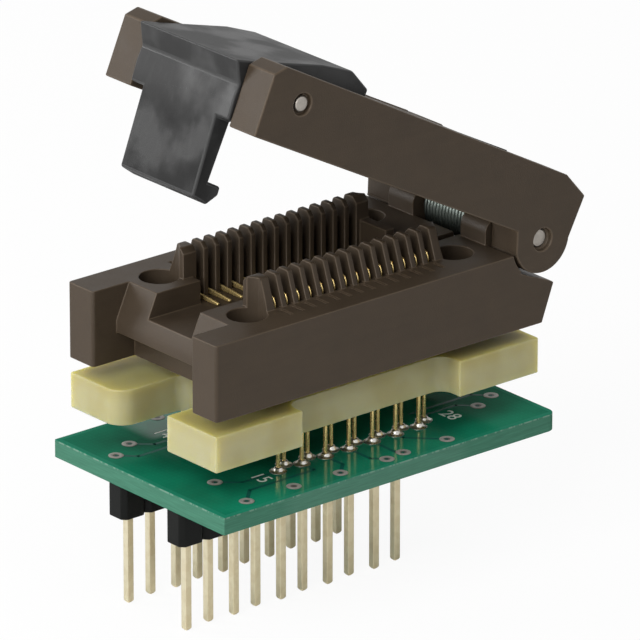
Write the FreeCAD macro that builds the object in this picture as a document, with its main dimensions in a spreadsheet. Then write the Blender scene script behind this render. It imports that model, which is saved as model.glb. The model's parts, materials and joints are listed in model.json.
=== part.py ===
import FreeCAD, Part
import math
import operator
import os
from types import SimpleNamespace

import Sketcher

# SOIC to DIP adapter: a hinged test socket on a small board with two rows of header pins.
# Lengths are in millimetres and angles in degrees.
# The origin is the middle of the pin pattern, on the underside of the headers,
# with +Z up, +X towards the lid hinge and the two pin rows along X.

SIZES = {
    # header pins and headers
    "pins_per_row": 10,
    "pin_pitch": 2.54,
    "pin_rows_apart": 7.62,
    "pin_side": 0.64,
    "pin_tip": 0.2,
    "pin_drop": 7.93,
    "pin_stagger": 0.13,
    "pin_in_board": 1.2,
    "pin_play": 0.02,
    "header_tall": 3.3,
    "header_wide": 2.3,
    "header_notch": 0.4,
    # circuit board
    "board_front": 13.23,
    "board_long": 36.1,
    "board_wide": 22.3,
    "board_thick": 1.57,
    "board_corner": 0.9,
    # contacts
    "contact_pairs": 7,
    "contact_pitch": 1.27,
    "contact_first": -3.43,
    "contact_thick": 0.3,
    "contact_play": 0.03,
    "tail_wide": 0.46,
    "tail_row_outer": 6.2,
    "tail_row_inner": 5.4,
    "foot_thick": 0.45,
    "foot_barb": 0.12,
    "tongue_end": 1.45,
    "tongue_tip": 0.25,
    "arm_outside": 5.92,
    "arm_wide": 0.36,
    "arm_rise": 0.75,
    "arm_bend": 0.62,
    "tip_inside": 4.72,
    "tip_thick": 0.3,
    "tip_fall": 0.16,
    # solder joints on the board
    "solder_foot": 1.4,
    "solder_tall": 0.9,
    "solder_taper": 26.0,
    # spacer
    "spacer_front": 12.75,
    "spacer_long": 34.9,
    "spacer_inset": 0.11,
    "spacer_tall": 3.17,
    "spacer_lift": 3.25,
    "spacer_notch_wide": 6.3,
    "spacer_notch_deep": 6.85,
    "spacer_notch_corner": 1.0,
    "spacer_mouth_corner": 1.75,
    "spacer_tail_slot": 0.6,
    "spacer_waist_front": 9.2,
    "spacer_waist_rear": 26.2,
    "spacer_waist_deep": 2.2,
    "spacer_waist_corner": 1.2,
    # socket base; heights go down from its deck, lengths back from its front face
    "base_front": 12.8,
    "base_wide": 19.32,
    "base_tall": 6.71,
    "base_lift": 1.3,
    "base_foot_long": 35.24,
    "base_rear_long": 36.49,
    "base_rear_down": 3.38,
    "ledge_end": 36.06,
    "ledge_end_down": 3.11,
    "ledge_start": 32.9,
    "ledge_start_down": 1.8,
    "leg_wide": 3.26,
    "leg_edge": 0.3,
    "recess_deep": 4.4,
    "lip_front": 2.5,
    "lip_down": 3.08,
    "lip_thick": 1.1,
    "ramp_top": 3.9,
    "channel_wide": 5.6,
    "nest_front": 8.57,
    "nest_long": 18.1,
    "nest_wide": 7.7,
    "nest_deep": 2.1,
    "sill_rise": 0.65,
    "sill_thick": 0.95,
    "sill_gap": 1.0,
    "mount_bore": 3.4,
    "mount_front": 6.5,
    "mount_rear": 28.77,
    "mount_off": 5.71,
    "boss_wide": 3.0,
    "boss_off": 2.6,
    "boss_front": 9.2,
    "boss_rear": 28.6,
    # combs
    "comb_front": 7.57,
    "comb_long": 20.06,
    "comb_foot": 6.34,
    "comb_crest_outer": 5.4,
    "comb_crest_inner": 4.3,
    "comb_tall": 2.67,
    "comb_shoulder": 2.17,
    "comb_round": 0.3,
    "slot_wide": 0.77,
    "slot_outside": 6.0,
    # hinge
    "hinge_long": 35.23,
    "hinge_rise": 0.71,
    "hinge_pin": 1.56,
    "hinge_pin_play": 0.01,
    "hinge_turn_play": 0.04,
    "hinge_mouth": 2.0,
    "hinge_mouth_deep": 0.5,
    "knuckle_radius": 2.95,
    "knuckle_gap": 0.32,
    "lug_inside": 3.05,
    "lug_outside": 6.25,
    "lug_front": 3.4,
    "lug_shoulder": 0.9,
    "lug_top": 2.4,
    "lug_round": 1.2,
    # lid; lengths and heights from the hinge, along the closed lid
    "lid_open": 28.0,
    "lid_long": 35.6,
    "lid_foot_long": 35.2,
    "lid_nose_down": 5.2,
    "lid_nose_back": 34.6,
    "lid_top_front": 6.12,
    "lid_top": 5.78,
    "lid_under": -0.1,
    "lid_rear": 2.78,
    "lid_rear_top": 4.68,
    "lid_arm_wide": 3.3,
    "knuckle_flat_top": 3.09,
    "knuckle_flat_end": 2.17,
    "knuckle_flat_down": 2.03,
    "bridge_front": 27.6,
    "bridge_step": 21.3,
    "bridge_step_top": 3.4,
    "bridge_rear": 4.6,
    "bridge_under": 2.25,
    "pusher_front": 24.6,
    "pusher_long": 14.0,
    "pusher_wide": 6.8,
    "pusher_drop": 0.35,
    "lid_window_front": 19.2,
    "lid_window_long": 12.2,
    "lid_window_wide": 8.4,
    "lid_window_deep": 1.1,
    # latch; lengths and heights from its pivot, along the closed lid
    "latch_pivot_back": 31.5,
    "latch_pivot_up": 3.7,
    "latch_pin": 1.3,
    "latch_turn_play": 0.04,
    "latch_mouth": 1.9,
    "latch_side_gap": 0.06,
    "latch_face": 4.2,
    "latch_brow": 1.0,
    "latch_brow_reach": 5.4,
    "latch_brow_up": 1.5,
    "latch_brow_foot": 0.3,
    "latch_slope_front": 3.16,
    "latch_slope_up": 1.94,
    "latch_hump": 3.8,
    "latch_hump_up": 3.5,
    "latch_crest": 7.2,
    "latch_crest_up": 3.9,
    "latch_tail": 9.6,
    "latch_tail_up": 2.9,
    "latch_tail_under": 1.85,
    "latch_belly": 0.95,
    "latch_boss": 2.6,
    "latch_skirt": 3.35,
    "plate_wide": 9.4,
    "plate_foot": 3.1,
    "plate_down": 10.2,
    "plate_thick": 2.0,
    "hook_bottom": 1.3,
    "hook_down": 10.5,
    "hook_nose": 0.4,
    "hook_nose_down": 9.45,
    "catch_tip": 0.5,
    "catch_root": 1.94,
    "catch_down": 8.73,
    # springs
    "coil_wire": 0.5,
    "coil_radius": 1.6,
    "coil_turns": 5,
    "coil_long": 5.2,
    "coil_leg_base": 5.4,
    "coil_leg_lid": 6.6,
    "coil_leg_play": 0.15,
    "latch_spring_back": 24.3,
    "latch_spring_wire": 0.36,
    "latch_spring_radius": 0.85,
    "latch_spring_turns": 3,
    "latch_spring_seat": 0.55,
    "latch_spring_play": 0.05,
    "latch_spring_room": 0.2,
}

XAXIS = FreeCAD.Vector(1, 0, 0)
YAXIS = FreeCAD.Vector(0, 1, 0)
ZAXIS = FreeCAD.Vector(0, 0, 1)

WIRE_SIDES = 6

OPERATIONS = {
    "+": operator.add,
    "-": operator.sub,
    "*": operator.mul,
    "/": operator.truediv,
}


class Size:
    """A number that keeps the sheet formula it comes from."""

    def __init__(self, formula, value):
        self.formula = formula
        self.value = value

    def __add__(self, other):
        return combine(self, "+", other)

    def __radd__(self, other):
        return combine(other, "+", self)

    def __sub__(self, other):
        return combine(self, "-", other)

    def __rsub__(self, other):
        return combine(other, "-", self)

    def __mul__(self, other):
        return combine(self, "*", other)

    def __rmul__(self, other):
        return combine(other, "*", self)

    def __truediv__(self, other):
        return combine(self, "/", other)

    def __neg__(self):
        return combine(0, "-", self)


def as_size(number):
    if isinstance(number, Size):
        return number
    return Size(f"({number})", number)


def combine(left, sign, right):
    left = as_size(left)
    right = as_size(right)
    formula = f"({left.formula} {sign} {right.formula})"
    return Size(formula, OPERATIONS[sign](left.value, right.value))


def cosine(angle):
    return Size(f"cos({angle.formula} * 1 deg)", math.cos(math.radians(angle.value)))


def sine(angle):
    return Size(f"sin({angle.formula} * 1 deg)", math.sin(math.radians(angle.value)))


def make_sheet(doc):
    """Fill the sheet with one named cell for each size."""
    sheet = doc.addObject("Spreadsheet::Sheet", "Sizes")
    for row, (name, value) in enumerate(SIZES.items(), start=1):
        sheet.set(f"A{row}", name)
        sheet.set(f"B{row}", str(value))
        sheet.setAlias(f"B{row}", name)
    doc.recompute()
    return SimpleNamespace(**{name: Size(f"Sizes.{name}", sheet.get(name)) for name in SIZES})


def bind(target, path, size):
    target.setExpression(path, as_size(size).formula)


def make_body(doc, label, x=0, y=0, z=0, tilt=None):
    """Start a piece at its own place, turned about Y by the tilt if it has one."""
    body = doc.addObject("PartDesign::Body", label)
    body.Label = label
    if tilt is not None:
        body.Placement.Rotation = FreeCAD.Rotation(YAXIS, tilt.value)
        bind(body, "Placement.Rotation.Angle", tilt)
    bind(body, "Placement.Base.x", x)
    bind(body, "Placement.Base.y", y)
    bind(body, "Placement.Base.z", z)
    return body


def make_sketch(body, name, role, offset=0):
    """Start a sketch on one of the piece's own origin planes, moved along its normal."""
    sketch = body.newObject("Sketcher::SketchObject", name)
    for feature in body.Origin.OriginFeatures:
        if feature.Role == role:
            sketch.AttachmentSupport = (feature, [""])
    sketch.MapMode = "FlatFace"
    bind(sketch, "AttachmentOffset.Base.z", offset)
    return sketch


def hold(sketch, geometry, point, x, y):
    """Fix a point of the sketch at its two coordinates."""
    for kind, size in (("DistanceX", as_size(x)), ("DistanceY", as_size(y))):
        number = sketch.addConstraint(
            Sketcher.Constraint(kind, -1, 1, geometry, point, float(size.value))
        )
        sketch.setExpression(f"Constraints[{number}]", size.formula)


def draw_circle(sketch, x, y, diameter):
    x = as_size(x)
    y = as_size(y)
    diameter = as_size(diameter)
    centre = FreeCAD.Vector(x.value, y.value, 0)
    circle = Part.Circle(centre, ZAXIS, diameter.value / 2)
    index = sketch.addGeometry(circle, False)
    hold(sketch, index, 3, x, y)
    number = sketch.addConstraint(Sketcher.Constraint("Diameter", index, float(diameter.value)))
    sketch.setExpression(f"Constraints[{number}]", diameter.formula)


def draw_outline(sketch, corners):
    """Draw a closed outline; a corner is (x, y), or (x, y, radius) where it is rounded."""
    count = len(corners)
    places = [
        FreeCAD.Vector(as_size(corner[0]).value, as_size(corner[1]).value, 0)
        for corner in corners
    ]
    starts = list(places)
    ends = list(places)
    arcs = {}
    for index, corner in enumerate(corners):
        if len(corner) == 3:
            before = (places[index - 1] - places[index]).normalize()
            after = (places[(index + 1) % count] - places[index]).normalize()
            radius = as_size(corner[2]).value
            half = before.getAngle(after) / 2
            ends[index] = places[index] + before * (radius / math.tan(half))
            starts[index] = places[index] + after * (radius / math.tan(half))
            centre = places[index] + (before + after).normalize() * (radius / math.sin(half))
            turns_left = before.cross(after).z < 0
            arcs[index] = (centre, radius, turns_left)
    first = None
    for index in range(count):
        line = Part.LineSegment(starts[index], ends[(index + 1) % count])
        number = sketch.addGeometry(line, False)
        if first is None:
            first = number
    for index, corner in enumerate(corners):
        line_before = first + (index - 1) % count
        line_after = first + index
        if index not in arcs:
            sketch.addConstraint(Sketcher.Constraint("Coincident", line_before, 2, line_after, 1))
            hold(sketch, line_after, 1, corner[0], corner[1])
            continue
        centre, radius, turns_left = arcs[index]
        point_in = ends[index] - centre
        point_out = starts[index] - centre
        if not turns_left:
            point_in, point_out = point_out, point_in
        angle_in = math.atan2(point_in.y, point_in.x)
        angle_out = math.atan2(point_out.y, point_out.x)
        circle = Part.Circle(centre, ZAXIS, radius)
        arc = sketch.addGeometry(Part.ArcOfCircle(circle, angle_in, angle_out), False)
        apex = sketch.addGeometry(Part.Point(places[index]), True)
        hold(sketch, apex, 1, corner[0], corner[1])
        sketch.addConstraint(Sketcher.Constraint("PointOnObject", apex, 1, line_before))
        sketch.addConstraint(Sketcher.Constraint("PointOnObject", apex, 1, line_after))
        near_end, far_end = (1, 2) if turns_left else (2, 1)
        sketch.addConstraint(Sketcher.Constraint("Tangent", line_before, 2, arc, near_end))
        sketch.addConstraint(Sketcher.Constraint("Tangent", arc, far_end, line_after, 1))
        number = sketch.addConstraint(Sketcher.Constraint("Radius", arc, float(radius)))
        sketch.setExpression(f"Constraints[{number}]", as_size(corner[2]).formula)


def draw_box(sketch, x_low, x_high, y_low, y_high):
    draw_outline(sketch, [(x_low, y_low), (x_high, y_low), (x_high, y_high), (x_low, y_high)])


def extrude(body, kind, name, sketch, length, symmetric, reverse):
    feature = body.newObject(f"PartDesign::{kind}", name)
    feature.Profile = sketch
    feature.Reversed = reverse
    feature.SideType = "Symmetric" if symmetric else "One side"
    bind(feature, "Length", length)
    return feature


def pad(body, name, sketch, length, symmetric=False, reverse=False):
    return extrude(body, "Pad", name, sketch, length, symmetric, reverse)


def pocket(body, name, sketch, length, symmetric=False, reverse=False):
    return extrude(body, "Pocket", name, sketch, length, symmetric, reverse)


def repeat(body, name, feature, sketch, pitch, count):
    """Repeat a feature along the sketch's first axis."""
    pattern = body.newObject("PartDesign::LinearPattern", name)
    pattern.Originals = [feature]
    pattern.Direction = (sketch, ["H_Axis"])
    pattern.Mode = "Spacing"
    bind(pattern, "Offset", pitch)
    bind(pattern, "Occurrences", count)
    body.Tip = pattern
    return pattern


def soften(body, name, kind, feature, elements, size):
    """Round or chamfer edges, or all the edges of faces."""
    finish = body.newObject(f"PartDesign::{kind}", name)
    finish.Base = (feature, elements)
    bind(finish, "Radius" if kind == "Fillet" else "Size", size)
    body.Tip = finish
    return finish


def edges_where(feature, test):
    """Name the edges of a feature whose middle and direction pass the test."""
    names = []
    for number, edge in enumerate(feature.Shape.Edges, start=1):
        if edge.Curve.TypeId == "Part::GeomLine":
            middle = edge.CenterOfMass
            direction = edge.tangentAt(edge.FirstParameter)
            if test(middle, direction):
                names.append(f"Edge{number}")
    return names


def turned(size, x, z):
    """Where a point of the closed lid stands with the lid open, from the hinge."""
    cos_open = cosine(size.lid_open)
    sin_open = sine(size.lid_open)
    return x * cos_open + z * sin_open, z * cos_open - x * sin_open


def add_levels(size):
    """Add the heights and lengths that follow from the sizes of the sheet."""
    size.board_top = size.header_tall + size.board_thick
    size.spacer_under = size.board_top + size.spacer_lift
    size.spacer_top = size.spacer_under + size.spacer_tall
    size.base_under = size.spacer_top + size.base_lift
    size.deck = size.base_under + size.base_tall
    size.hinge_x = size.hinge_long - size.base_front
    size.hinge_z = size.deck + size.hinge_rise
    size.inner_half = size.base_wide / 2 - size.leg_wide
    size.arm_inner_half = size.base_wide / 2 - size.lid_arm_wide
    size.contact_start = size.contact_first + size.base_front


def tail_places(size):
    """The four tails that repeat along the socket: outer and inner rows on both sides."""
    places = []
    for side in (-1, 1):
        places.append((size.contact_first, side * size.tail_row_outer))
        places.append((size.contact_first + size.contact_pitch, side * size.tail_row_inner))
    return places


def make_board(doc, size):
    body = make_body(doc, "circuit_board", x=-size.board_front, z=size.header_tall)
    half = size.board_wide / 2
    sketch = make_sketch(body, "BoardOutline", "XY_Plane")
    draw_outline(sketch, [
        (0, -half),
        (size.board_long, -half, size.board_corner),
        (size.board_long, half, size.board_corner),
        (0, half),
    ])
    pad(body, "BoardPlate", sketch, size.board_thick)
    cut_tail_slots(
        body,
        size,
        make_sketch(body, "TailSlots", "XY_Plane"),
        size.board_front,
        size.contact_thick / 2 + size.contact_play,
        size.tail_wide / 2 + size.contact_play,
        size.board_thick,
    )
    rows = (-size.pin_rows_apart / 2, size.pin_rows_apart / 2)
    cut_pin_slots(body, size, size.board_front, rows, size.pin_in_board + size.pin_play)
    return body


def cut_tail_slots(body, size, sketch, front, reach_x, reach_y, depth):
    """Cut a slot for every tail, upwards from the sketch."""
    for x, y in tail_places(size):
        x = x + front
        draw_box(sketch, x - reach_x, x + reach_x, y - reach_y, y + reach_y)
    cut = pocket(body, "TailSlotCut", sketch, depth, reverse=True)
    repeat(body, "TailSlotRows", cut, sketch, 2 * size.contact_pitch, size.contact_pairs)


def cut_pin_slots(body, size, front, rows, depth):
    """Cut a square slot for every header pin; every other pin leans the other way."""
    sketch = make_sketch(body, "PinSlots", "XY_Plane")
    reach = size.pin_side / 2 + size.pin_play
    first = front - (size.pins_per_row - 1) / 2 * size.pin_pitch
    for row in rows:
        for step, lean in ((0, -1), (1, 1)):
            x = first + step * size.pin_pitch
            y = row + lean * size.pin_stagger
            draw_box(sketch, x - reach, x + reach, y - reach, y + reach)
    cut = pocket(body, "PinSlotCut", sketch, depth, reverse=True)
    repeat(body, "PinSlotRows", cut, sketch, 2 * size.pin_pitch, size.pins_per_row / 2)


def make_header(doc, size, label, side):
    """A breakaway header: ten eight-sided blocks in one moulding, bored for its pins."""
    body = make_body(doc, label, y=side * size.pin_rows_apart / 2)
    first = (size.pins_per_row - 1) / 2 * -size.pin_pitch
    half_long = size.pin_pitch / 2
    half_wide = size.header_wide / 2
    notch = size.header_notch
    block = make_sketch(body, "Block", "XY_Plane")
    draw_outline(block, [
        (first - half_long + notch, -half_wide),
        (first + half_long - notch, -half_wide),
        (first + half_long, notch - half_wide),
        (first + half_long, half_wide - notch),
        (first + half_long - notch, half_wide),
        (first - half_long + notch, half_wide),
        (first - half_long, half_wide - notch),
        (first - half_long, notch - half_wide),
    ])
    solid = pad(body, "BlockPad", block, size.header_tall)
    repeat(body, "BlockRow", solid, block, size.pin_pitch, size.pins_per_row)
    cut_pin_slots(body, size, 0, (0,), size.header_tall)
    return body


def make_pin(doc, size, number):
    """A square header pin; the numbers run down the near row and back up the far row."""
    per_row = int(size.pins_per_row.value)
    side = -1 if number <= per_row else 1
    step = number - 1 if number <= per_row else 2 * per_row - number
    lean = 1 if step % 2 else -1
    body = make_body(
        doc,
        f"dip_pin_{number:02d}",
        x=(step - (size.pins_per_row - 1) / 2) * size.pin_pitch,
        y=side * size.pin_rows_apart / 2 + lean * size.pin_stagger,
        z=-size.pin_drop,
    )
    half = size.pin_side / 2
    sketch = make_sketch(body, "PinSection", "XY_Plane")
    draw_box(sketch, -half, half, -half, half)
    shaft = pad(body, "Shaft", sketch, size.pin_drop + size.header_tall + size.pin_in_board)
    doc.recompute()
    ends = [
        f"Face{index}"
        for index, face in enumerate(shaft.Shape.Faces, start=1)
        if abs(face.normalAt(0, 0).z) > 0.9
    ]
    soften(body, "Tips", "Chamfer", shaft, ends, size.pin_tip)
    return body


def make_spacer(doc, size):
    """The block on the tails: notched at the front, waisted on both sides."""
    body = make_body(doc, "spacer", x=-size.spacer_front, z=size.spacer_under)
    half = size.base_wide / 2 - size.spacer_inset
    waist = half - size.spacer_waist_deep
    notch_half = size.spacer_notch_wide / 2
    sketch = make_sketch(body, "SpacerOutline", "XY_Plane")
    draw_outline(sketch, [
        (0, -half),
        (size.spacer_waist_front, -half),
        (size.spacer_waist_front, -waist, size.spacer_waist_corner),
        (size.spacer_waist_rear, -waist, size.spacer_waist_corner),
        (size.spacer_waist_rear, -half),
        (size.spacer_long, -half),
        (size.spacer_long, half),
        (size.spacer_waist_rear, half),
        (size.spacer_waist_rear, waist, size.spacer_waist_corner),
        (size.spacer_waist_front, waist, size.spacer_waist_corner),
        (size.spacer_waist_front, half),
        (0, half),
        (0, notch_half, size.spacer_mouth_corner),
        (size.spacer_notch_deep, notch_half, size.spacer_notch_corner),
        (size.spacer_notch_deep, -notch_half, size.spacer_notch_corner),
        (0, -notch_half),
    ])
    pad(body, "SpacerBlock", sketch, size.spacer_tall)
    cut_tail_slots(
        body,
        size,
        make_sketch(body, "TailSlots", "XY_Plane"),
        size.spacer_front,
        size.spacer_tail_slot / 2,
        size.spacer_tail_slot / 2,
        size.spacer_tall,
    )
    return body


def base_block(body, size):
    """The moulding's side profile, the recess between its legs and the hollow at the hinge."""
    side = make_sketch(body, "SideProfile", "XZ_Plane")
    draw_outline(side, [
        (0, -size.base_tall),
        (size.base_foot_long, -size.base_tall),
        (size.base_rear_long, -size.base_rear_down),
        (size.ledge_end, -size.ledge_end_down),
        (size.ledge_start, -size.ledge_start_down),
        (size.ledge_start, 0),
        (0, 0),
    ])
    pad(body, "Block", side, size.base_wide, symmetric=True)
    recess = make_sketch(body, "FrontRecess", "XZ_Plane")
    lip_under = size.lip_down + size.lip_thick
    draw_outline(recess, [
        (0, -size.base_tall),
        (size.recess_deep, -size.base_tall),
        (size.recess_deep, -lip_under),
        (size.lip_front, -lip_under),
        (size.lip_front, -size.lip_down),
        (size.ramp_top, 0),
        (0, 0),
    ])
    pocket(body, "FrontRecessCut", recess, 2 * size.inner_half, symmetric=True)
    hollow = make_sketch(body, "HingeHollow", "XZ_Plane")
    draw_circle(
        hollow,
        size.hinge_long,
        size.hinge_rise,
        2 * (size.knuckle_radius + size.knuckle_gap),
    )
    pocket(body, "HingeHollowCut", hollow, size.base_wide, symmetric=True)


def base_lugs(body, size):
    """The two lugs that hold the hinge pin, inboard of the lid's knuckles."""
    profile_x = size.hinge_long
    profile_z = size.hinge_rise
    foot = profile_z - size.knuckle_radius - size.knuckle_gap - size.lug_round
    for name, side in (("Near", -1), ("Far", 1)):
        middle = side * (size.lug_inside + size.lug_outside) / 2
        sketch = make_sketch(body, f"{name}Lug", "XZ_Plane", -middle)
        draw_outline(sketch, [
            (profile_x - size.lug_front, foot),
            (profile_x, foot),
            (profile_x + size.lug_top, profile_z),
            (profile_x + size.lug_top, profile_z + size.lug_top, size.lug_round),
            (profile_x - size.lug_top / 2, profile_z + size.lug_top, size.lug_round),
            (profile_x - size.lug_front, profile_z + size.lug_shoulder, size.lug_round),
        ])
        pad(body, f"{name}LugPad", sketch, size.lug_outside - size.lug_inside, symmetric=True)
    bore = make_sketch(body, "PinBore", "XZ_Plane")
    draw_circle(bore, profile_x, profile_z, size.hinge_pin + 2 * size.hinge_pin_play)
    pocket(body, "PinBoreCut", bore, size.base_wide, symmetric=True)
    slot = make_sketch(body, "SpringSlot", "XZ_Plane", (size.coil_long - size.coil_wire) / 2)
    reach = size.coil_wire / 2 + size.coil_leg_play
    draw_box(
        slot,
        profile_x - size.coil_leg_base - size.coil_leg_play,
        profile_x - size.coil_radius,
        profile_z - size.coil_radius - reach,
        0,
    )
    pocket(body, "SpringSlotCut", slot, 2 * reach, symmetric=True)


def base_combs(body, size):
    """The nest and channel, then both combs with a slot for each contact."""
    channel_half = size.channel_wide / 2
    nest_half = size.nest_wide / 2
    nest_rear = size.nest_front + size.nest_long
    floor = make_sketch(body, "NestAndChannel", "XY_Plane")
    draw_outline(floor, [
        (0, -channel_half),
        (size.nest_front, -channel_half),
        (size.nest_front, -nest_half),
        (nest_rear, -nest_half),
        (nest_rear, nest_half),
        (size.nest_front, nest_half),
        (size.nest_front, channel_half),
        (0, channel_half),
    ])
    pocket(body, "NestCut", floor, size.nest_deep)
    combs = make_sketch(body, "CombProfile", "YZ_Plane", size.comb_front)
    for side in (-1, 1):
        draw_outline(combs, [
            (side * size.comb_foot, 0),
            (side * size.comb_crest_outer, size.comb_tall, size.comb_round),
            (side * size.comb_crest_inner, size.comb_tall),
            (side * nest_half, size.comb_shoulder),
            (side * nest_half, -size.nest_deep / 2),
            (side * size.comb_foot, -size.nest_deep / 2),
        ])
    pad(body, "Combs", combs, size.comb_long)
    sills = make_sketch(body, "Sills", "XY_Plane", -size.nest_deep / 2)
    for side in (-1, 1):
        draw_box(
            sills,
            nest_rear,
            nest_rear + size.sill_thick,
            side * size.sill_gap / 2,
            side * nest_half,
        )
    pad(body, "SillPads", sills, size.nest_deep / 2 + size.sill_rise)
    slots = make_sketch(body, "SlotProfile", "YZ_Plane", size.contact_start - size.slot_wide / 2)
    foot_outside = size.tail_row_outer + size.tail_wide / 2 + size.foot_barb + size.contact_play
    foot_top = size.foot_thick + 2 * size.contact_play - size.nest_deep
    for side in (-1, 1):
        draw_outline(slots, [
            (side * channel_half, -size.nest_deep),
            (side * foot_outside, -size.nest_deep),
            (side * foot_outside, foot_top),
            (side * size.slot_outside, foot_top),
            (side * size.slot_outside, 0),
            (side * size.comb_foot, 0),
            (side * size.comb_foot, size.comb_tall),
            (side * channel_half, size.comb_tall),
        ])
    cut = pocket(body, "Slot", slots, size.slot_wide, reverse=True)
    pattern = body.newObject("PartDesign::LinearPattern", "SlotRow")
    pattern.Originals = [cut]
    pattern.Direction = (slots, ["N_Axis"])
    pattern.Mode = "Spacing"
    bind(pattern, "Offset", size.contact_pitch)
    bind(pattern, "Occurrences", 2 * size.contact_pairs)
    body.Tip = pattern


def base_holes(body, size):
    """Tail slots up to the contacts' feet, four mounting holes and four standing bosses."""
    cut_tail_slots(
        body,
        size,
        make_sketch(body, "TailSlots", "XY_Plane", -size.base_tall),
        size.base_front,
        size.contact_thick / 2 + size.contact_play,
        size.tail_wide / 2 + size.contact_play,
        size.base_tall - size.nest_deep,
    )
    holes = make_sketch(body, "MountHoles", "XY_Plane", size.comb_tall)
    bosses = make_sketch(body, "Bosses", "XY_Plane", -size.base_tall)
    for side in (-1, 1):
        for along in (size.mount_front, size.mount_rear):
            draw_circle(holes, along, side * size.mount_off, size.mount_bore)
        for along in (size.boss_front, size.boss_rear):
            draw_circle(bosses, along, side * size.boss_off, size.boss_wide)
    pocket(body, "MountBores", holes, size.comb_tall + size.base_tall)
    last = pad(body, "StandingBosses", bosses, size.base_lift, reverse=True)
    return last


def make_base(doc, size):
    body = make_body(doc, "socket_base", x=-size.base_front, z=size.deck)
    base_block(body, size)
    base_lugs(body, size)
    base_combs(body, size)
    last = base_holes(body, size)
    doc.recompute()
    legs = edges_where(
        last,
        lambda middle, direction: abs(direction.z) > 0.9 and abs(middle.x) < 0.01,
    )
    soften(body, "LegEdges", "Fillet", last, legs, size.leg_edge)
    return body


def make_contact(doc, size, number):
    """A contact stamped from strip: tail, barbed foot, tongue and the sprung arm to its tip."""
    pairs = int(size.contact_pairs.value)
    side = -1 if number <= 2 * pairs else 1
    step = (number - 1) % (2 * pairs)
    if side > 0:
        step = 2 * pairs - 1 - step
    row = size.tail_row_inner if step % 2 else size.tail_row_outer
    body = make_body(
        doc,
        f"contact_{number:02d}",
        x=size.contact_first + step * size.contact_pitch,
        z=size.deck,
    )
    under = size.contact_play - size.nest_deep
    foot_top = under + size.foot_thick
    foot_outside = size.tail_row_outer + size.tail_wide / 2 + size.foot_barb
    tail_end = size.header_tall - size.deck
    arm_inside = size.arm_outside - size.arm_wide
    sketch = make_sketch(body, "Strip", "YZ_Plane")
    draw_outline(sketch, [
        (side * (row + size.tail_wide / 2), tail_end),
        (side * (row + size.tail_wide / 2), under),
        (side * foot_outside, under),
        (side * foot_outside, foot_top),
        (side * size.arm_outside, foot_top),
        (side * size.arm_outside, size.arm_rise, size.arm_bend),
        (side * size.tip_inside, size.arm_rise - size.tip_fall),
        (side * size.tip_inside, size.arm_rise - size.tip_fall - size.tip_thick),
        (side * arm_inside, size.arm_rise - size.tip_thick),
        (side * arm_inside, foot_top),
        (side * (size.nest_wide / 2), foot_top),
        (side * size.tongue_end, under + size.tongue_tip),
        (side * size.tongue_end, under),
        (side * (row - size.tail_wide / 2), under),
        (side * (row - size.tail_wide / 2), tail_end),
    ])
    pad(body, "Stamping", sketch, size.contact_thick, symmetric=True)
    return body


def make_solder(doc, size):
    """A six-sided cone of solder round each tail on the board."""
    body = make_body(doc, "solder_joints", z=size.board_top)
    body.AllowCompound = True
    feet = make_sketch(body, "Feet", "XY_Plane")
    reach = size.solder_foot / 2
    corner = reach / math.sqrt(3)
    for x, y in tail_places(size):
        draw_outline(feet, [
            (x - corner, y - reach),
            (x + corner, y - reach),
            (x + 2 * corner, y),
            (x + corner, y + reach),
            (x - corner, y + reach),
            (x - 2 * corner, y),
        ])
    cones = pad(body, "Cones", feet, size.solder_tall)
    bind(cones, "TaperAngle", -size.solder_taper)
    repeat(body, "ConeRows", cones, feet, 2 * size.contact_pitch, size.contact_pairs)
    cut_tail_slots(
        body,
        size,
        make_sketch(body, "TailSlots", "XY_Plane"),
        0,
        size.contact_thick / 2,
        size.tail_wide / 2,
        size.solder_tall,
    )
    return body


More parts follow.
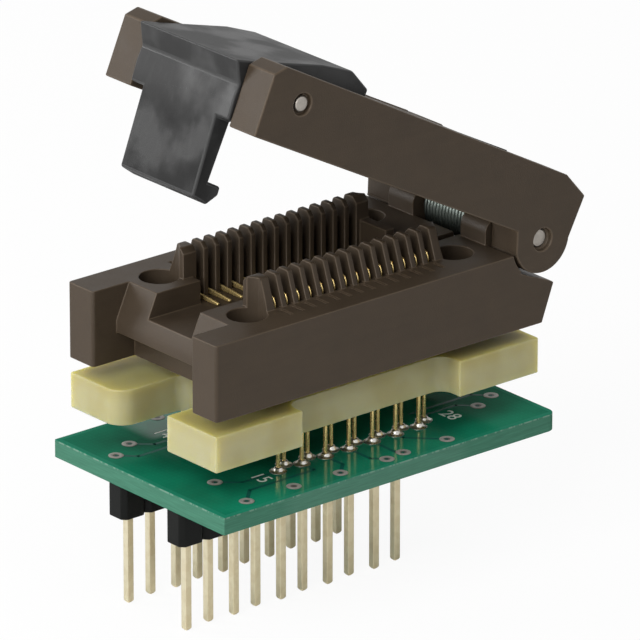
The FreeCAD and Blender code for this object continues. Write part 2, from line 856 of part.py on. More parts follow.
def make_lid(doc, size):
    """Two side arms with hinge knuckles, joined by a bridge that carries the pusher."""
    body = make_body(doc, "lid", x=size.hinge_x, z=size.hinge_z, tilt=size.lid_open)
    arms = make_sketch(body, "ArmProfile", "XZ_Plane")
    draw_outline(arms, [
        (-size.lid_foot_long, size.lid_under),
        (-size.knuckle_flat_top, size.lid_under),
        (-size.knuckle_flat_end, -size.knuckle_flat_down),
        (0, 0),
        (size.lid_rear, 0),
        (size.lid_rear, size.lid_rear_top),
        (0, size.lid_top),
        (-size.lid_nose_back, size.lid_top_front),
        (-size.lid_long, size.lid_nose_down),
    ])
    pad(body, "Arms", arms, size.base_wide, symmetric=True)
    knuckle = make_sketch(body, "KnuckleProfile", "XZ_Plane")
    draw_circle(knuckle, 0, 0, 2 * size.knuckle_radius)
    pad(body, "Knuckle", knuckle, size.base_wide, symmetric=True)
    flat = make_sketch(body, "KnuckleFlat", "XZ_Plane")
    draw_outline(flat, [
        (-size.knuckle_flat_top, size.lid_under),
        (-size.knuckle_flat_end, -size.knuckle_flat_down),
        (-size.knuckle_flat_end, -size.knuckle_radius),
        (-size.knuckle_flat_top - size.knuckle_gap, -size.knuckle_radius),
        (-size.knuckle_flat_top - size.knuckle_gap, size.lid_under),
    ])
    pocket(body, "KnuckleFlatCut", flat, size.base_wide, symmetric=True)
    between = make_sketch(body, "BetweenArms", "XZ_Plane")
    draw_box(
        between,
        -size.lid_long,
        size.knuckle_radius,
        -size.knuckle_radius,
        size.lid_top_front,
    )
    pocket(body, "BetweenArmsCut", between, 2 * size.arm_inner_half, symmetric=True)
    bridge = make_sketch(body, "BridgeProfile", "XZ_Plane")
    draw_outline(bridge, [
        (-size.bridge_front, size.bridge_under),
        (-size.bridge_rear, size.bridge_under),
        (-size.bridge_rear, size.lid_top),
        (-size.bridge_step, size.lid_top),
        (-size.bridge_step, size.bridge_step_top),
        (-size.bridge_front, size.bridge_step_top),
    ])
    pad(body, "Bridge", bridge, 2 * size.arm_inner_half, symmetric=True)
    pusher = make_sketch(body, "PusherOutline", "XY_Plane", size.bridge_under)
    half = size.pusher_wide / 2
    draw_box(pusher, -size.pusher_front, size.pusher_long - size.pusher_front, -half, half)
    pad(body, "Pusher", pusher, size.pusher_drop, reverse=True)
    window = make_sketch(body, "TopRecess", "XY_Plane", size.lid_top)
    half = size.lid_window_wide / 2
    draw_box(
        window,
        -size.lid_window_front,
        size.lid_window_long - size.lid_window_front,
        -half,
        half,
    )
    pocket(body, "TopRecessCut", window, size.lid_window_deep)
    seat = make_sketch(body, "SpringSeat", "XY_Plane", size.bridge_step_top)
    draw_circle(seat, -size.latch_spring_back, 0, spring_bore(size))
    pocket(body, "SpringSeatCut", seat, size.latch_spring_seat)
    bores = make_sketch(body, "PinBores", "XZ_Plane")
    draw_circle(bores, 0, 0, size.hinge_pin + 2 * size.hinge_turn_play)
    draw_circle(
        bores,
        -size.latch_pivot_back,
        size.latch_pivot_up,
        size.latch_pin + 2 * size.hinge_pin_play,
    )
    pocket(body, "PinBoreCut", bores, size.base_wide, symmetric=True)
    for name, side in (("Near", -1), ("Far", 1)):
        mouths = make_sketch(body, f"{name}Mouths", "XZ_Plane", -side * size.base_wide / 2)
        draw_circle(mouths, 0, 0, size.hinge_mouth)
        draw_circle(mouths, -size.latch_pivot_back, size.latch_pivot_up, size.latch_mouth)
        pocket(body, f"{name}MouthCut", mouths, size.hinge_mouth_deep, reverse=side > 0)
    return body


def spring_bore(size):
    return 2 * (size.latch_spring_radius + size.latch_spring_room) + size.latch_spring_wire


def make_latch(doc, size):
    """The latch between the arms: ramped thumb piece, narrower plate below and its hook."""
    reach_x, reach_z = turned(size, -size.latch_pivot_back, size.latch_pivot_up)
    body = make_body(
        doc,
        "latch",
        x=size.hinge_x + reach_x,
        z=size.hinge_z + reach_z,
        tilt=size.lid_open,
    )
    upper = make_sketch(body, "UpperProfile", "XZ_Plane")
    draw_outline(upper, [
        (-size.latch_face, -size.latch_skirt),
        (size.latch_boss, -size.latch_skirt, size.latch_brow),
        (size.latch_boss, size.latch_belly - size.latch_brow / 2),
        (size.latch_tail, size.latch_tail_under),
        (size.latch_tail, size.latch_tail_up),
        (size.latch_crest, size.latch_crest_up, size.latch_brow),
        (size.latch_hump, size.latch_hump_up),
        (-size.latch_slope_front, size.latch_slope_up),
        (-size.latch_brow_reach, size.latch_brow_up),
        (-size.latch_face, -size.latch_brow_foot),
    ])
    wide = 2 * (size.arm_inner_half - size.latch_side_gap)
    pad(body, "Upper", upper, wide, symmetric=True)
    plate = make_sketch(body, "PlateProfile", "XZ_Plane")
    draw_outline(plate, [
        (-size.latch_face, -size.latch_skirt / 2),
        (-size.plate_foot, -size.plate_down),
        (-size.hook_bottom, -size.hook_down),
        (-size.hook_nose, -size.hook_nose_down),
        (-size.catch_tip, -size.catch_down),
        (-size.catch_root, -size.catch_down),
        (size.plate_thick - size.latch_face, -size.latch_skirt / 2),
    ])
    pad(body, "Plate", plate, size.plate_wide, symmetric=True)
    bore = make_sketch(body, "PivotBore", "XZ_Plane")
    draw_circle(bore, 0, 0, size.latch_pin + 2 * size.latch_turn_play)
    pocket(body, "PivotBoreCut", bore, wide, symmetric=True)
    seat = make_sketch(body, "SpringSeat", "XY_Plane")
    draw_circle(seat, size.latch_pivot_back - size.latch_spring_back, 0, spring_bore(size))
    pocket(
        body,
        "SpringSeatCut",
        seat,
        size.latch_tail_under + size.latch_spring_seat,
        reverse=True,
    )
    return body


def make_crosswise_pin(doc, size, label, x, z, diameter, recess):
    """A steel pin across the socket, a little short of the arms' outer faces."""
    body = make_body(doc, label, x=x, z=z)
    sketch = make_sketch(body, "Section", "XZ_Plane")
    draw_circle(sketch, 0, 0, diameter)
    pad(body, "Shaft", sketch, size.base_wide - 2 * recess, symmetric=True)
    return body


def coil_arcs(radius, pitch, half_turns, last_turn):
    """Tangent arcs of a coil about +Y; it starts below the axis towards +X."""
    arcs = []
    for step in range(half_turns):
        side = -1 if step % 2 else 1
        low = FreeCAD.Vector(0, step * pitch / 2, -side * radius)
        high = FreeCAD.Vector(0, (step + 1) * pitch / 2, side * radius)
        sweep = last_turn if step == half_turns - 1 else 180
        points = []
        for angle in (0, math.radians(sweep / 2), math.radians(sweep)):
            along = (low + high) / 2 - (high - low) * (math.cos(angle) / 2)
            out = XAXIS * (side * math.hypot(radius, pitch / 4) * math.sin(angle))
            points.append(along + out)
        arcs.append(Part.Arc(*points).toShape())
    return arcs


def sweep_wire(edges, diameter):
    """A wire of many sides swept along edges that run on from each other."""
    path = Part.Wire(edges)
    first = edges[0]
    start = first.valueAt(first.FirstParameter)
    heading = first.tangentAt(first.FirstParameter)
    outward = heading.cross(YAXIS).normalize()
    turn = FreeCAD.Rotation(heading, 360 / WIRE_SIDES)
    corners = [outward * (diameter / 2)]
    for _ in range(WIRE_SIDES):
        corners.append(turn.multVec(corners[-1]))
    section = Part.makePolygon([start + corner for corner in corners])
    return path.makePipeShell([section], True, False)


def make_hinge_spring(doc, size):
    """A torsion spring round the hinge pin: one leg in the base, one under the lid."""
    wire = size.coil_wire.value
    half_turns = 2 * int(size.coil_turns.value) + 1
    pitch = (size.coil_long.value - wire) / (size.coil_turns.value + 0.5)
    arcs = coil_arcs(size.coil_radius.value, pitch, half_turns, 180 - size.lid_open.value)
    start = arcs[0].valueAt(arcs[0].FirstParameter)
    finish = arcs[-1].valueAt(arcs[-1].LastParameter)
    heading = arcs[-1].tangentAt(arcs[-1].LastParameter)
    base_leg = Part.makeLine(start - XAXIS * size.coil_leg_base.value, start)
    lid_leg = Part.makeLine(finish, finish + heading * size.coil_leg_lid.value)
    spring = doc.addObject("Part::Feature", "hinge_spring")
    spring.Label = "hinge_spring"
    spring.Shape = sweep_wire([base_leg, *arcs, lid_leg], wire)
    bind(spring, "Placement.Base.x", size.hinge_x)
    bind(spring, "Placement.Base.y", (size.coil_wire - size.coil_long) / 2)
    bind(spring, "Placement.Base.z", size.hinge_z)
    return spring


def make_latch_spring(doc, size):
    """A compression spring between the bridge and the latch's tail."""
    foot = size.bridge_step_top - size.latch_spring_seat
    head = size.latch_pivot_up + size.latch_tail_under + size.latch_spring_seat
    reach_x, reach_z = turned(size, -size.latch_spring_back, foot)
    wire = size.latch_spring_wire.value
    travel = (head - foot).value - wire - 2 * size.latch_spring_play.value
    half_turns = 2 * int(size.latch_spring_turns.value)
    arcs = coil_arcs(size.latch_spring_radius.value, 2 * travel / half_turns, half_turns, 180)
    coil = sweep_wire(arcs, wire)
    upright = FreeCAD.Rotation(YAXIS, ZAXIS)
    lift = ZAXIS * (wire / 2 + size.latch_spring_play.value)
    coil.transformShape(FreeCAD.Placement(lift, upright).toMatrix(), True)
    spring = doc.addObject("Part::Feature", "latch_spring")
    spring.Label = "latch_spring"
    spring.Shape = coil
    spring.Placement.Rotation = FreeCAD.Rotation(YAXIS, size.lid_open.value)
    bind(spring, "Placement.Rotation.Angle", size.lid_open)
    bind(spring, "Placement.Base.x", size.hinge_x + reach_x)
    bind(spring, "Placement.Base.z", size.hinge_z + reach_z)
    return spring


def build(doc):
    size = make_sheet(doc)
    add_levels(size)
    pieces = [
        make_board(doc, size),
        make_header(doc, size, "header_near", -1),
        make_header(doc, size, "header_far", 1),
    ]
    for number in range(1, 2 * int(size.pins_per_row.value) + 1):
        pieces.append(make_pin(doc, size, number))
    pieces.append(make_spacer(doc, size))
    pieces.append(make_base(doc, size))
    for number in range(1, 4 * int(size.contact_pairs.value) + 1):
        pieces.append(make_contact(doc, size, number))
    pieces.append(make_solder(doc, size))
    pieces.append(make_lid(doc, size))
    pieces.append(make_latch(doc, size))
    reach_x, reach_z = turned(size, -size.latch_pivot_back, size.latch_pivot_up)
    pieces.append(make_crosswise_pin(
        doc,
        size,
        "hinge_pin",
        size.hinge_x,
        size.hinge_z,
        size.hinge_pin,
        size.hinge_mouth_deep,
    ))
    pieces.append(make_crosswise_pin(
        doc,
        size,
        "latch_pin",
        size.hinge_x + reach_x,
        size.hinge_z + reach_z,
        size.latch_pin,
        size.hinge_mouth_deep,
    ))
    pieces.append(make_hinge_spring(doc, size))
    pieces.append(make_latch_spring(doc, size))
    doc.recompute()
    return pieces


def check(doc, pieces):
    """Stop if an object failed, a cut removed nothing or a piece is not a sound solid."""
    for item in doc.Objects:
        if "Invalid" in item.State or "Error" in item.State:
            raise RuntimeError(f"{item.Label} failed: {item.State}")
        if item.TypeId == "PartDesign::Pocket":
            if item.Shape.Volume > item.BaseFeature.Shape.Volume - 1e-6:
                raise RuntimeError(f"{item.Label} cuts nothing")
    for piece in pieces:
        if piece.Shape.isNull() or not piece.Shape.isValid():
            raise RuntimeError(f"{piece.Label} is not a sound shape")


def main():
    doc = FreeCAD.newDocument("SoicToDipAdapter")
    pieces = build(doc)
    check(doc, pieces)
    os.makedirs("parts", exist_ok=True)
    for piece in pieces:
        piece.Shape.exportStep(f"parts/{piece.Label}.step")
        print(f"{piece.Label}: {len(piece.Shape.Solids)} solid(s), {piece.Shape.Volume:.3f} mm3")


main()
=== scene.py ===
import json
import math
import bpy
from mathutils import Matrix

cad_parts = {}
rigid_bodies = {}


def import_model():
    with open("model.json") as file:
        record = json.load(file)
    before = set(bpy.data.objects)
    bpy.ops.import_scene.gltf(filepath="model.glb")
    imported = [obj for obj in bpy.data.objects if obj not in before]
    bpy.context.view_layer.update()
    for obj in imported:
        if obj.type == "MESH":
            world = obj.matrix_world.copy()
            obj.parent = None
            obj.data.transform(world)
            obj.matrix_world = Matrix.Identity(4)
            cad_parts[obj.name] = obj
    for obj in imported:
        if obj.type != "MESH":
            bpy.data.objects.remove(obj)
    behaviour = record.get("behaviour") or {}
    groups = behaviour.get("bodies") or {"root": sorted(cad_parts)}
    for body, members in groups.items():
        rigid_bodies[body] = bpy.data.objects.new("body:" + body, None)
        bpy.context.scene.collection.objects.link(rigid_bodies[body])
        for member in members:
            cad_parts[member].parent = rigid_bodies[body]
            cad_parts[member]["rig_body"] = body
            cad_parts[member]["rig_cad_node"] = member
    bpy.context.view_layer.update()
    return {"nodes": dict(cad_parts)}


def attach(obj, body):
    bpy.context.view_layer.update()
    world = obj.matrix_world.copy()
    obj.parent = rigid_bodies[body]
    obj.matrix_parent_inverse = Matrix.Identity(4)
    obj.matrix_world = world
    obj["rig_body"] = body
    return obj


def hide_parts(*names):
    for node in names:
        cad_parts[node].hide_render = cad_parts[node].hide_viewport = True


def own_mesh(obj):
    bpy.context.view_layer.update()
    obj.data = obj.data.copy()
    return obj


bl_info = {
    "name": "SOIC to DIP adapter",
    "version": (1, 0, 0),
    "blender": (4, 5, 0),
    "location": "3D View > Sidebar > Adapter",
    "description": "Dresses a hinged test socket on its header board for rendering",
    "category": "Object",
}

import bpy
from mathutils import Matrix, Vector

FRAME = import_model()

MM = 0.001
MERGE = 0.002 * MM
SHARP = math.radians(28)
SMOOTH = math.radians(50)
FLAT = math.radians(1)
# Degrees of a coil from one ring of its mesh to the next
COIL_STEP = 15

# Places and sizes in millimetres, from the middle of the pin pattern

# Header pins and board; a track's strip runs on past its corners by the overlap
PINS_PER_ROW = 10
PIN_FOOT = -7.93
FLOOR_GAP = 0.02
BOARD_LOW = Vector((-13.23, -11.15, 3.3))
BOARD_HIGH = Vector((22.87, 11.15, 4.87))
TRACK_HALF_WIDE = 0.16
TRACK_HALF_TALL = 0.008
TRACK_OVERLAP = 0.1
VIA_SUNK = 0.01
NUMBER_TALL = 1.9
NUMBER_THICK = 0.012
# Where the mask is glossiest: off the middle, along the middle, and half its length
JOINT_STRIP = Vector((5.5, 3.0, 10.5))

# Contacts: the tails' places from the front on; outer and inner rows take turns
TAIL_FIRST = -3.43
TAIL_PITCH = 1.27
TAILS_PER_SIDE = 14
TAIL_ROW_OUTER = 6.2
TAIL_ROW_INNER = 5.4
# Below the deck by this much and more, a tail keeps this share of its width
TAIL_ROOT = 4.0
TAIL_SHARE = 0.66
# Above the deck, an arm keeps this share of its width and stands taller by this share
ARM_SHARE = 0.62
ARM_RISE = 0.4

# Deck of the socket base, and the slots in it outside the combs
DECK_TOP = 19.3
SLOT_MIDDLE = 7.1
SLOT_REACH = (0.2, 0.75, 0.16)

# Hinge, the lid's rest angle, and the pins: the latch pin's half length and both rounds
HINGE = Vector((22.43, 0.0, 20.01))
LID_OPEN = math.radians(28)
ROD_REACH = 9.56
HINGE_ROD_EDGE = 0.12
LATCH_ROD_EDGE = 0.16

# Hinge spring: half its length, the room round it, and its legs in the base and under the lid
COIL_HALF = 2.85
COIL_ROOM_HALF = 3.02
COIL_GAP = 0.06
LEG_DIP = math.radians(7)
LEG_LONG = 5.3
LEG_GROOVE_HALF = 0.22
LEG_GROOVE_END = 0.1
LID_LEG_LONG = 6.5

# Latch and its spring, from the hinge, along and above the closed lid; the rise runs from
# the middle of the wire at one end to its middle at the other
LATCH_PIVOT = Vector((-31.5, 0.0, 3.7))
LATCH_SPRING_START = Vector((-24.3, 0.0, 3.08))
LATCH_SPRING_RISE = 2.75
# From the latch's pivot: a point on the front face of its plate, which leans by this slope
PLATE_FACE = Vector((-4.18, 0.0, -1.675))
PLATE_LEAN = 0.129
# What is cut off in front of that face: a block's middle and half sizes, from the same point
FACE_CUT = ((-1.0, 0.0, -5.4), (1.0, 7.0, 6.6))

# Camera: what it looks at, how far away it stands, and its own right, up and back
TARGET = Vector((6.139, -0.163, 14.062))
CAMERA_AWAY = 733.326
CAMERA_AXES = (
    Vector((0.76645, -0.64230, 0.0)),
    Vector((0.23352, 0.27866, 0.93157)),
    Vector((-0.59835, -0.71400, 0.36357)),
)
# Lamps: direction from the target, and distance and width in metres
LAMPS = {
    "key": ((-0.85, -0.3, 0.52), 0.6, 0.45),
    "fill": ((0.1, -0.45, 0.9), 0.7, 0.6),
    "rim": ((-0.64, 0.71, 0.29), 0.7, 0.25),
}

# Tinned vias on the board, from its front near corner
VIAS = (
    (4.26, 6.43),
    (3.69, 1.63),
    (8.7, 1.6),
    (13.5, 1.36),
    (18.4, 1.2),
    (20.39, 1.45),
    (25.08, 1.34),
    (31.92, 5.29),
    (34.3, 6.36),
    (1.67, 16.2),
    (4.14, 17.5),
    (33.6, 16.4),
    (31.2, 19.9),
    (9.6, 20.6),
    (17.2, 20.8),
    (24.4, 20.5),
)

# Copper tracks under the mask, corner to corner, from the same corner
TRACKS = (
    ((4.26, 6.43), (6.0, 5.0), (9.8, 4.95)),
    ((3.69, 1.63), (5.4, 3.3), (12.3, 3.3), (12.34, 4.95)),
    ((13.5, 1.36), (14.88, 2.7), (14.88, 4.95)),
    ((18.4, 1.2), (17.42, 2.2), (17.42, 4.95)),
    ((20.39, 1.45), (19.96, 1.9), (19.96, 4.95)),
    ((25.08, 1.34), (22.5, 3.9), (22.5, 4.95)),
    ((31.92, 5.29), (30.6, 6.6), (26.3, 6.6)),
    ((34.3, 6.36), (33.1, 7.6), (26.3, 7.6)),
    ((1.67, 16.2), (3.0, 14.9), (10.0, 14.9)),
    ((4.14, 17.5), (5.7, 16.1), (10.0, 16.1)),
    ((33.6, 16.4), (32.2, 15.0), (26.3, 15.0)),
    ((31.2, 19.9), (29.0, 17.7), (26.3, 17.7)),
)

# Contact numbers printed on the board: text and its middle, from the same corner
NUMBERS = (
    ("15", 7.75, 4.75),
    ("28", 28.75, 5.2),
    ("14", 7.75, 17.45),
    ("1", 28.75, 17.1),
)

# Round forms ring by ring: radius and height
VIA_RINGS = (
    (0.66, 0.0),
    (0.66, 0.025),
    (0.6, 0.055),
    (0.44, 0.06),
    (0.32, 0.04),
    (0.2, 0.015),
    (0.05, 0.012),
)
SOLDER_RINGS = (
    (0.74, 0.0),
    (0.74, 0.035),
    (0.7, 0.055),
    (0.62, 0.05),
    (0.55, 0.07),
    (0.46, 0.15),
    (0.4, 0.25),
    (0.35, 0.33),
    (0.3, 0.38),
    (0.2, 0.42),
)


def shown(red, green, blue):
    """A colour as it shows on a screen, 0 to 255 a channel, in Blender's linear values."""
    return tuple(((channel / 255 + 0.055) / 1.055) ** 2.4 for channel in (red, green, blue))


def scaled(colour, share):
    return tuple(channel * share for channel in colour)


def tuned(colour, *shares):
    """A colour with each channel scaled by its own share."""
    return tuple(channel * share for channel, share in zip(colour, shares))


# Settings


def length(name, description, default):
    return bpy.props.FloatProperty(
        name=name,
        description=description,
        default=default * MM,
        min=0.0,
        unit="LENGTH",
        precision=6,
    )


def turns(name, description, default):
    return bpy.props.IntProperty(name=name, description=description, default=default, min=1)


def colour(name, description, default):
    return bpy.props.FloatVectorProperty(
        name=name,
        description=description,
        default=default,
        subtype="COLOR",
        size=3,
        min=0.0,
        max=1.0,
    )


def amount(name, description, default):
    return bpy.props.FloatProperty(name=name, description=description, default=default, min=0.0)


class AdapterSizes(bpy.types.PropertyGroup):
    """Sizes that finish the pieces."""

    socket_edge: length("Socket edge", "Width of the softened edges of the socket base", 0.08)
    lid_edge: length("Lid edge", "Width of the softened edges of the lid", 0.12)
    latch_edge: length("Latch edge", "Width of the softened edges of the latch", 0.2)
    spacer_edge: length("Spacer edge", "Width of the softened edges of the spacer", 0.12)
    board_edge: length("Board edge", "Width of the softened edges of the board", 0.05)
    header_edge: length("Header edge", "Width of the softened edges of the headers", 0.09)
    pin_edge: length("Pin edge", "Width of the softened edges of the header pins", 0.08)
    contact_edge: length("Contact edge", "Width of the softened edges of the contacts", 0.1)
    hinge_wire: length("Hinge spring wire", "Diameter of the hinge spring's wire", 0.34)
    hinge_coil: length("Hinge spring coil", "Radius of the hinge spring's coil", 2.38)
    hinge_turns: turns("Hinge spring turns", "Whole turns of the hinge spring", 14)
    latch_wire: length("Latch spring wire", "Diameter of the latch spring's wire", 0.34)
    latch_coil: length("Latch spring coil", "Radius of the latch spring's coil", 0.85)
    latch_turns: turns("Latch spring turns", "Whole turns of the latch spring", 5)


class AdapterColours(bpy.types.PropertyGroup):
    """Colours of the mouldings, the board and the metal."""

    socket: colour("Socket", "Brown moulding of the socket and its lid", shown(62, 52, 41))
    latch: colour("Latch", "Black moulding of the latch", shown(36, 36, 36))
    spacer: colour("Spacer", "Pale moulding under the socket", shown(163, 158, 121))
    board: colour("Board", "Solder mask over the copper", shown(18, 108, 81))
    board_rim: colour("Board rim", "Cut edge of the board", shown(68, 114, 95))
    header: colour("Headers", "Black moulding of the headers", shown(18, 19, 18))
    pin: colour("Pins", "Plating of the header pins", shown(232, 224, 196))
    contact: colour("Contacts", "Plating of the contacts", shown(236, 208, 140))
    solder: colour("Solder", "Solder and tinned copper", shown(196, 194, 188))
    steel: colour("Steel", "Hinge and latch pins", shown(176, 170, 162))
    spring: colour("Springs", "Spring wire", shown(132, 140, 134))
    ink: colour("Print", "White print on the board", shown(214, 222, 214))
    floor: colour("Floor", "Floor under the adapter", shown(252, 252, 252))


class AdapterStage(bpy.types.PropertyGroup):
    """Light and camera."""

    key_power: amount("Key power", "Power of the soft lamp at the front", 3.3)
    fill_power: amount("Fill power", "Power of the soft lamp above", 0.45)
    rim_power: amount("Rim power", "Power of the lamp at the far side", 1.9)
    room_level: amount("Room level", "Strength of the light from all round", 0.4)
    focal_length: amount("Focal length", "Focal length of the camera in millimetres", 495.18)


def sizes():
    return bpy.context.scene.adapter_sizes


def colours():
    return bpy.context.scene.adapter_colours


# Shader recipes


class Term:
    """A value that a material works out, with arithmetic on it."""

    def __init__(self, recipe, socket):
        self.recipe = recipe
        self.socket = socket

    def __add__(self, other):
        return self.recipe.maths("ADD", self, other)

    __radd__ = __add__

    def __sub__(self, other):
        return self.recipe.maths("SUBTRACT", self, other)

    def __rsub__(self, other):
        return self.recipe.maths("SUBTRACT", other, self)

    def __mul__(self, other):
        return self.recipe.maths("MULTIPLY", self, other)

    __rmul__ = __mul__

    def __abs__(self):
        return self.recipe.maths("ABSOLUTE", self)

    def lower(self, other):
        return self.recipe.maths("MINIMUM", self, other)


class Recipe:
    """A material in the making; its patterns read the place on the piece in millimetres."""

    def __init__(self, name):
        self.material = bpy.data.materials.new(name)
        self.material.use_nodes = True
        self.tree = self.material.node_tree
        self.tree.nodes.clear()
        place = self.add("ShaderNodeTexCoord", output="Object")
        self.place = self.add(
            "ShaderNodeVectorMath", {"operation": "SCALE"}, {0: place, "Scale": 1 / MM}
        )

    def add(self, kind, settings=None, inputs=None, output=0):
        """Add a node: its settings first, then the values or links of its sockets."""
        node = self.tree.nodes.new(kind)
        for name, value in (settings or {}).items():
            setattr(node, name, value)
        for name, value in (inputs or {}).items():
            if isinstance(value, Term):
                self.tree.links.new(value.socket, node.inputs[name])
            elif isinstance(value, tuple) and len(value) == 3 and node.inputs[name].type == "RGBA":
                node.inputs[name].default_value = (*value, 1.0)
            else:
                node.inputs[name].default_value = value
        return Term(self, node.outputs[output])

    def maths(self, operation, *values):
        return self.add("ShaderNodeMath", {"operation": operation}, dict(enumerate(values)))

    def mix(self, share, first, second):
        """The first colour where the share is 0 and the second where it is 1."""
        return self.add(
            "ShaderNodeMix", {"data_type": "RGBA"}, {0: share, 6: first, 7: second}, output=2
        )

    def stretched(self, scale):
        return self.add(
            "ShaderNodeMapping", {"vector_type": "POINT"}, {"Vector": self.place, "Scale": scale}
        )

    def noise(self, scale, detail=2.0, place=None):
        """Soft noise, 0 to 1, with that many marks in a millimetre."""
        return self.add(
            "ShaderNodeTexNoise",
            None,
            {"Vector": place or self.place, "Scale": scale, "Detail": detail},
        )

    def steps(self, value, low, high):
        """0 below the low value and 1 above the high one, with a smooth rise between."""
        return self.add(
            "ShaderNodeMapRange",
            {"interpolation_type": "SMOOTHSTEP"},
            {"Value": value, "From Min": low, "From Max": high},
        )

    def axes(self, vector):
        split = self.add("ShaderNodeSeparateXYZ", None, {0: vector})
        outputs = split.socket.node.outputs
        return [Term(self, outputs[index]) for index in range(3)]

    def facing(self):
        """The surface's own direction, as three values."""
        return self.axes(self.add("ShaderNodeNewGeometry", output="Normal"))

    def bump(self, height, depth):
        return self.add(
            "ShaderNodeBump", None, {"Height": height, "Distance": depth * MM, "Strength": 1.0}
        )

    def done(self, sockets):
        """Close the recipe with one surface shader."""
        surface = self.add("ShaderNodeBsdfPrincipled", None, sockets)
        output = self.tree.nodes.new("ShaderNodeOutputMaterial")
        self.tree.links.new(surface.socket, output.inputs["Surface"])
        return self.material


MATERIALS = {}


def finish_named(name, make):
    """One material for each finish, made when it is first asked for."""
    if name not in MATERIALS:
        MATERIALS[name] = make(name)
    return MATERIALS[name]


def moulded(name, tint, roughness, grain, streak, depth, gloss):
    """Moulded plastic: a spark-eroded grain, slow mottling, faint flow streaks and rare specks."""
    recipe = Recipe(name)
    mottle = recipe.noise(0.45, 3.0)
    fine = recipe.noise(grain, 2.0)
    flow = recipe.noise(1.0, 3.0, recipe.stretched((0.16, 2.2, 2.2)))
    tone = 0.5 * mottle + 0.25 * fine + streak * flow
    body = recipe.mix(tone, scaled(tint, 0.72), scaled(tint, 1.28))
    speck = recipe.steps(recipe.noise(5.5, 1.0), 0.74, 0.8) * 0.35
    base = recipe.mix(speck, body, scaled(tint, 2.1))
    return recipe.done({
        "Base Color": base,
        "Roughness": roughness + 0.16 * (mottle - 0.5) + 0.12 * (fine - 0.5),
        "Normal": recipe.bump(fine + 0.6 * mottle, depth),
        "Specular IOR Level": gloss,
    })


def socket_plastic(name):
    return moulded(name, tuple(colours().socket), 0.5, 9.0, 0.25, 0.012, 0.2)


# A lighter copy of the socket plastic for the rounded edges: a painted highlight along them
def socket_plastic_edge(name):
    return moulded(name, scaled(tuple(colours().socket), 1.5), 0.46, 9.0, 0.25, 0.008, 0.25)


def latch_plastic(name):
    """Black plastic from a half polished mould: cloudy patches, a fine haze, and painted shade that
    makes it darker and less glossy low down.
    """
    recipe = Recipe(name)
    tint = tuple(colours().latch)
    patch = recipe.steps(recipe.noise(0.2, 3.0), 0.4, 0.62)
    fine = recipe.noise(7.0, 2.0)
    scuff = recipe.steps(recipe.noise(1.0, 3.0, recipe.stretched((0.5, 1.6, 0.5))), 0.5, 0.72)
    # Painted shade: the latch is darker and reflects less low down
    low = recipe.steps(recipe.axes(recipe.place)[2], 38.5, 35.0)
    tone = 0.6 * patch + 0.2 * fine + 0.2 * scuff - 0.45 * low
    return recipe.done({
        "Base Color": recipe.mix(tone, scaled(tint, 0.7), scaled(tint, 2.0)),
        "Roughness": 0.5 - 0.1 * patch + 0.1 * fine,
        "Normal": recipe.bump(fine, 0.008),
        "Specular IOR Level": 0.27 + 0.12 * patch - 0.17 * low,
    })


# A lighter copy of the latch plastic for the rounded edges: a painted highlight along them
def latch_plastic_edge(name):
    return moulded(name, scaled(tuple(colours().latch), 1.7), 0.4, 7.0, 0.2, 0.006, 0.25)


def header_plastic(name):
    return moulded(name, tuple(colours().header), 0.44, 8.0, 0.2, 0.01, 0.1)


def spacer_plastic(name):
    """Pale translucent plastic, yellower in soft clouds, with painted shade: darker yellow near the
    top under the socket base, and yellower olive faces that look up.
    """
    recipe = Recipe(name)
    tint = tuple(colours().spacer)
    deep_and_shaded_tint = tuned(tint, 0.78, 0.7, 0.42)
    cloud = recipe.noise(0.22, 2.0)
    fine = recipe.noise(7.0, 2.0)
    # Painted shade: darker yellow near the top, where the socket base overhangs the spacer
    painted_shade_under_base = recipe.steps(recipe.axes(recipe.place)[2], 9.9, 11.25)
    cloud_and_shade_tone = 0.45 * recipe.steps(cloud, 0.4, 0.66) + 0.35 * painted_shade_under_base
    base = recipe.mix(cloud_and_shade_tone, tint, deep_and_shaded_tint)
    # Painted shade: faces that look up take a yellower olive tint, for the top ledge's look in the
    # shade of the base
    level = recipe.steps(recipe.facing()[2], 0.93, 0.99)
    base = recipe.mix(level, base, tuned(tint, 1.0, 0.97, 0.62))
    streaks = recipe.noise(1.0, 2.0, recipe.stretched((0.3, 0.3, 9.0)))
    base = recipe.mix(0.12 * streaks, base, scaled(tint, 1.2))
    return recipe.done({
        "Base Color": base,
        "Roughness": 0.4 + 0.14 * fine,
        "Normal": recipe.bump(fine + streaks, 0.006),
        "Specular IOR Level": 0.25,
        "Subsurface Weight": 0.85,
        "Subsurface Radius": (4.0, 3.4, 1.4),
        "Subsurface Scale": MM,
    })


